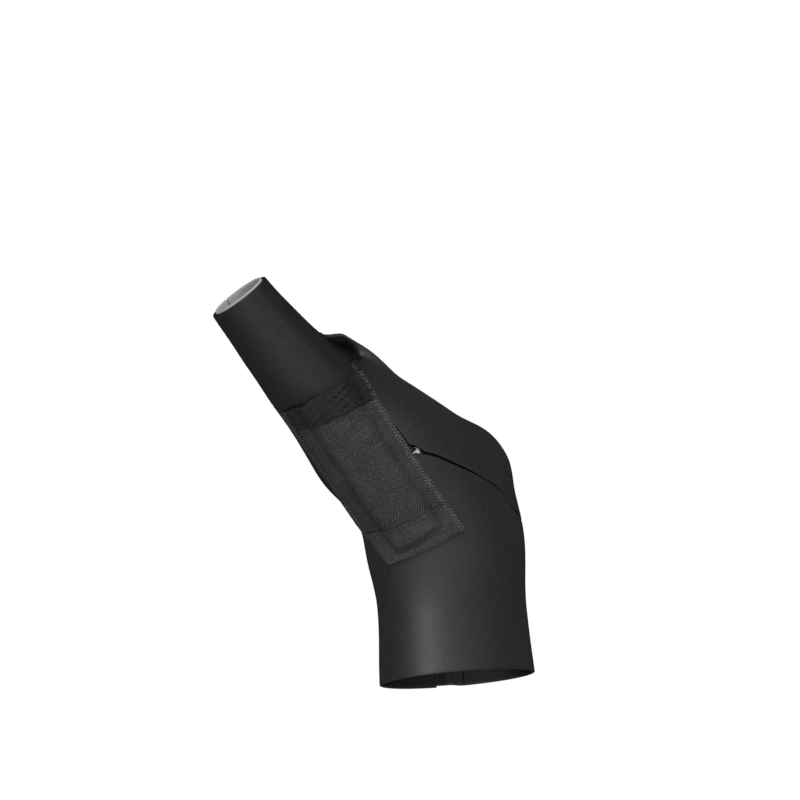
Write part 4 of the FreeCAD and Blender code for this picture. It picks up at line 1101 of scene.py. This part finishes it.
# box stitching on the free ends
def tab_stitch(name, f0, f1, zb, zt, f_root, rise, body):
    ring = []
    fs = np.linspace(f0, f1, 50)
    zs0 = [float(zb(np.array(f))) for f in fs]
    zs1 = [float(zt(np.array(f))) for f in fs]
    ring += list(zip(fs, zs0)) + [(f1, z) for z in np.linspace(zs0[-1], zs1[-1], 40)][1:]
    ring += list(zip(fs[::-1], zs1[::-1]))[1:] + [(f0, z) for z in np.linspace(zs1[0], zs0[0], 40)][1:]
    r = np.array(ring)
    P = settle(on_wrist(r[:, 0], r[:, 1]), 1)
    lo, hi = tab_heights(r[:, 0], f_root, rise)
    o = tubes(name, stitch_line(P, hi + 0.02, 2.2, 0.45, 0.15), 0.15, [THREAD_DIM], 6)
    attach(o, body)
    return o


tab_stitch("strap_end_box_stitch", TAB_END - 33, TAB_END - 5.2, lambda f: sb(f) + 2.6, lambda f: stp(f) - 2.6, STRAP_END + 0.7, 9.5, "strap_tab")
tab_stitch("wrist_end_box_stitch", BAND_TAB_END - 35, BAND_TAB_END - 7, lambda f: bb(f) + 4.8, lambda f: bt0(f) - 4.8, BAND_END + 0.7, 12.0, "band_tab")

# seam tape with a zigzag row on the sleeve's hidden side
U = np.linspace(0, 1, 14)
V = shares(56.0, 1.0, 0.15)
a0 = float(sleeve_edge(SEAM)) + 1.2
G = fine(lambda u, v: on_thumb(SEAM - 6.0 + 12.0 * u, lerp(a0, TOP_AL - 1.5, v)), U, V, 10, 30)
tape = sheet("sleeve_seam_tape_twill", G, 1.66, 1.98, [TAPE, TAPE], 0.14, "", None)
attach(tape, "brace"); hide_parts("sleeve_seam_tape")
k = int((TOP_AL - 3 - a0 - 1) / 0.9)
als = np.linspace(a0 + 1, TOP_AL - 2.6, k)
zz = on_thumb(SEAM + np.where(np.arange(k) % 2, 3.4, -3.4), als)
nn, _ = grad(zz)
paths = []
for i in range(k - 1):
    a, b = zz[i] + nn[i] * 1.98, zz[i + 1] + nn[i + 1] * 1.98
    ts = np.linspace(0.04, 0.96, 4)
    arch = np.array([-0.05, 0.1, 0.1, -0.05])
    paths.append([a * (1 - t) + b * t + nn[i] * h for t, h in zip(ts, arch)])
o = tubes("sleeve_seam_zigzag", paths, 0.14, [THREAD_DIM], 5)
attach(o, "brace")


# ---------------------------------------------------------------- stay pocket
def smooth_max(a, b, k=0.6):
    h = np.maximum(k - np.abs(a - b), 0.0) / k
    return np.maximum(a, b) + h * h * k * 0.25


def cover_low(G):
    n, _ = grad(G)
    edge = SW / 2 + 0.9
    r = G - MID
    hn = np.maximum(0.35, n @ N2)
    H = np.full(G.shape[:-1], 2.15)
    for _ in range(6):
        q = r + n * H[..., None]
        w, l = q @ W2, q @ AX
        aw = np.abs(w)
        mb = np.minimum(aw, edge)
        top = STAY_LOW + STH + CW + CLEAR + np.sqrt(BOWR ** 2 - mb ** 2) - BOWR
        d = np.maximum(0.0, aw - edge)
        top = top - 0.8 * d - 0.28 * d * d
        e = np.maximum(0.0, -(SL / 2 + 1.0) - l)
        top = top - 0.5 * e - 0.35 * e * e
        H = 0.5 * H + 0.5 * smooth_max(2.15, (top - r @ N2) / hn)
    return H


def on_pocket(w, l):
    """The pocket's ends slope: its dorsal edge sits lower than its palmar edge."""
    return on_stay(w, l - 0.6 - 1.9 * (np.asarray(w) / HALF_W + 1.0))


def pocket_patch(w0, w1, l0, l1, step=0.5, r=0.2, cu=30, cv=50):
    f0 = l0 if callable(l0) else (lambda w: np.full_like(w, l0))
    f1 = l1 if callable(l1) else (lambda w: np.full_like(w, l1))
    L = float(np.mean(f1(np.array([w0, w1], float)) - f0(np.array([w0, w1], float))))
    U = shares(w1 - w0, step, r)
    V = shares(L, step, r)

    def fn(u, v):
        w = lerp(w0, w1, u)
        return on_pocket(w, lerp(f0(w), f1(w), v))
    return fine(fn, U, V, cu, cv)


def blur(H, times=2):
    for _ in range(times):
        P = np.pad(H, 1, mode="edge")
        H = (P[:-2, 1:-1] + P[2:, 1:-1] + P[1:-1, :-2] + P[1:-1, 2:] + 2 * P[1:-1, 1:-1]) / 6
    return H


G = pocket_patch(-HALF_W + 1, HALF_W - 1, -HALF_L + 1, HALF_L - 1, 1.0)
back = sheet("pocket_backing_twill", G, 1.6, 2.0, [BACK, BACK], 0.15)
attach(back, "brace"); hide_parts("pocket_backing")

TOP_HEM = lambda w: 9.0 + 1.7 * np.asarray(w) / HALF_W
BOT_HEM = lambda w: 12.0 - 0.7 * np.asarray(w) / HALF_W
CT = 0.6
G = pocket_patch(-HALF_W, HALF_W, -HALF_L, HALF_L, 0.45)
H = blur(cover_low(G), 3)
u0, u1, v0, v1 = edge_distance(G)
side = np.minimum(u0, u1)
# slack between stitches: small puckers that run in from the stitched edges
pk = 0.10 * np.sin(v0 * 2 * math.pi / 3.1 + 1.3 * np.sin(v0 / 5.0)) * np.exp(-side / 2.6) + wavy(G, 0.16, 9.0, 7)
pk = pk * np.clip(side / 0.8, 0, 1)
cover = sheet("pocket_cover_twill", G, H + np.maximum(pk, -0.05), H + CT + np.maximum(pk, -0.05), [TWILL, TWILL], 0.25)
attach(cover, "brace"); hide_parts("pocket_cover")
from mathutils.kdtree import KDTree
CO = (H + CT + np.maximum(pk, -0.05)).ravel()
KD = KDTree(CO.size)
for i_, p_ in enumerate(G.reshape(-1, 3)):
    KD.insert(Vector(p_), i_)
KD.balance()


def cover_top(P):
    """Height of the cover's outer face over skin points."""
    out = []
    for p in np.asarray(P).reshape(-1, 3):
        near = KD.find_n(Vector(p), 5)
        w = np.array([1.0 / (d * d + 0.02) for _, _, d in near])
        out.append((w * CO[[i for _, i, _ in near]]).sum() / w.sum())
    return np.array(out).reshape(P.shape[:-1])


def over(w0, w1, l0, l1, base, thick, step, r, name, mat, node, seed, amp=0.10, crown=0.0):
    G = pocket_patch(w0, w1, l0, l1, step, r, 30, 24)
    H = blur(cover_top(G), 1) - CT
    u0, u1, v0, v1 = edge_distance(G)
    span = (v0 + v1)
    c = crown * np.clip(1 - ((v0 - v1) / span) ** 2, 0, 1)
    wv = wavy(G, amp, 7.0, seed)
    wv = np.maximum(wv, -0.05) + c
    o = sheet(name, G, H + CT + base + wv, H + CT + base + thick + wv, [mat, mat], r)
    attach(o, "brace")
    if node:
        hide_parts(node)
    return o


over(-HALF_W + 2.4, HALF_W - 0.5, lambda w: HALF_L - TOP_HEM(w), HALF_L + 0.25, 0.16, 0.8, 0.5, 0.3, "pocket_top_hem_band", HEM_SHADED, "pocket_top_hem", 21, 0.06, 0.10)
over(-HALF_W + 0.9, HALF_W - 0.4, -HALF_L - 0.2, lambda w: -HALF_L + BOT_HEM(w), 0.16, 0.62, 0.5, 0.26, "pocket_bottom_hem_band", HEM_LIT, "pocket_bottom_hem", 22, 0.14, 0.08)


def surface_line(w, l, extra):
    P = on_pocket(w, l)
    n, _ = grad(P)
    return P, n, cover_top(P) + extra


def running(name, w, l, extra, pitch, gap, radius, mat):
    P, n, H = surface_line(w, l, extra)
    o = tubes(name, stitch_line(P, H, pitch, gap, radius), radius, [mat], 6)
    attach(o, "brace")
    return o


ws = np.linspace(-HALF_W + 3.2, HALF_W - 2.2, 90)
running("top_hem_stitch_low", ws, HALF_L - TOP_HEM(ws) + 0.9, 0.98, 1.9, 0.35, 0.15, THREAD_DIM)
running("top_hem_stitch_high", ws, np.full(90, HALF_L - 0.9), 0.98, 1.9, 0.35, 0.15, THREAD_DIM)
running("bottom_hem_stitch_high", ws, -HALF_L + BOT_HEM(ws) - 1.0, 0.84, 1.9, 0.35, 0.16, THREAD_DIM)
running("bottom_hem_stitch_low", ws, np.full(90, -HALF_L + 1.6), 0.82, 1.9, 0.35, 0.15, THREAD)


def overlock(name, wa, wb, l0, l1, pitch, node, seed, mat, rad=0.2):
    """Overcast stitches across a long edge: slanted bights."""
    n = int((l1 - l0) / pitch)
    l = np.linspace(l0, l1, n + 1)
    g = np.random.default_rng(seed)
    ja = g.normal(0, 0.07, n + 1)
    jb = g.normal(0, 0.09, n + 1)
    paths = []
    hemk = lambda ww, ll: np.where((ww > -HALF_W + 2.2) & ((ll > HALF_L - TOP_HEM(ww)) | (ll < -HALF_L + BOT_HEM(ww))), 0.80, 0.0)
    K = 6
    ts = np.linspace(0, 1, K)
    arch = np.array([-0.12, 0.03, 0.08, 0.08, 0.02, -0.14])
    Wq, Lq, Eq = [], [], []
    for i in range(n):
        for (a, b, la, lb) in ((wa + ja[i], wb + jb[i], l[i], l[i] + pitch * 0.42), (wb + jb[i], wa + ja[i + 1], l[i] + pitch * 0.5, l[i + 1])):
            Wq.append(lerp(a, b, ts)); Lq.append(lerp(la, lb, ts)); Eq.append(arch)
    Wq, Lq, Eq = np.array(Wq), np.array(Lq), np.array(Eq)
    P = on_pocket(Wq, Lq)
    nrm, _ = grad(P)
    H = cover_top(P) + hemk(Wq, Lq) + Eq + 0.02
    pts = P + nrm * H[..., None]
    paths = [p for p in pts]
    o = tubes(name, paths, rad, [mat], 6)
    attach(o, "brace"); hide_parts(node)
    return o


overlock("dorsal_overlock_thread", HALF_W - 2.0, HALF_W + 0.1, -HALF_L + 0.5, HALF_L - 0.4, 1.25, "pocket_stitches_dorsal", 31, THREAD, 0.17)
overlock("palmar_overlock_thread", -HALF_W + 2.2, -HALF_W + 0.6, -HALF_L + 0.7, HALF_L - 0.7, 1.25, "pocket_stitches_palmar", 32, THREAD_DIM, 0.12)

# ---------------------------------------------------------------- stage, light and camera
def plane(name, size, loc, rot, mat):
    me = bpy.data.meshes.new(name)
    s = size / 2
    me.from_pydata([(-s, -s, 0), (s, -s, 0), (s, s, 0), (-s, s, 0)], [], [(0, 1, 2, 3)])
    me.materials.append(mat)
    o = bpy.data.objects.new(name, me)
    o.location = loc
    o.rotation_euler = rot
    COLL.objects.link(o)
    return o


fm, nt, bs = new_mat("studio_floor")
bs.inputs["Base Color"].default_value = (0.86, 0.86, 0.86, 1)
bs.inputs["Roughness"].default_value = 0.9
plane("floor", 12.0, (0, 0, -0.26), (0, 0, 0), fm)

world = bpy.data.worlds.new("studio")
bpy.context.scene.world = world
world.use_nodes = True
bg = world.node_tree.nodes["Background"]
bg.inputs[0].default_value = (1.0, 1.0, 1.0, 1)
bg.inputs[1].default_value = 1.0


def area(name, loc, target, size, power, color=(1, 1, 1), size_y=None):
    d = bpy.data.lights.new(name, "AREA")
    d.energy = power
    d.size = size
    d.color = color
    if size_y:
        d.shape = "RECTANGLE"
        d.size_y = size_y
    o = bpy.data.objects.new(name, d)
    o.location = loc
    v = Vector(target) - Vector(loc)
    o.rotation_euler = v.to_track_quat("-Z", "Y").to_euler()
    COLL.objects.link(o)
    return o


c0 = Vector((-0.01, -0.01, 0.07))
area("front_strip", (-0.11, -1.2, 0.62), c0, 0.28, 15, size_y=0.62)
area("right_top_soft", (0.75, -0.75, 0.75), c0, 0.35, 4)

EX, EV = Vector((1, 0, 0)), Vector((0, -SD, CD))
Rr = EX * 0.9925 - EV * 0.1219
Up = EX * 0.1219 + EV * 0.9925
Fw = Vector((0, CD, SD))
dx, dy = 400 - 459, 400 - 684
X = 0.35 * (0.9925 * dx - 0.1219 * dy)
Vv = 0.35 * (-0.1219 * dx - 0.9925 * dy)
tgt = (EX * X + EV * Vv) * M + Fw * (-0.022)
DIST = 1.25
cam = bpy.data.cameras.new("cam")
cam.sensor_width = 36.0
cam.lens = 36.0 * DIST / 0.280
cam.clip_start = 0.05
camo = bpy.data.objects.new("cam", cam)
rot = Matrix((Rr, Up, -Fw)).transposed()
camo.matrix_world = Matrix.Translation(tgt - Fw * DIST) @ rot.to_4x4()
COLL.objects.link(camo)
bpy.context.scene.camera = camo
bpy.context.scene.view_settings.view_transform = "Standard"
bpy.context.scene.view_settings.look = "None"
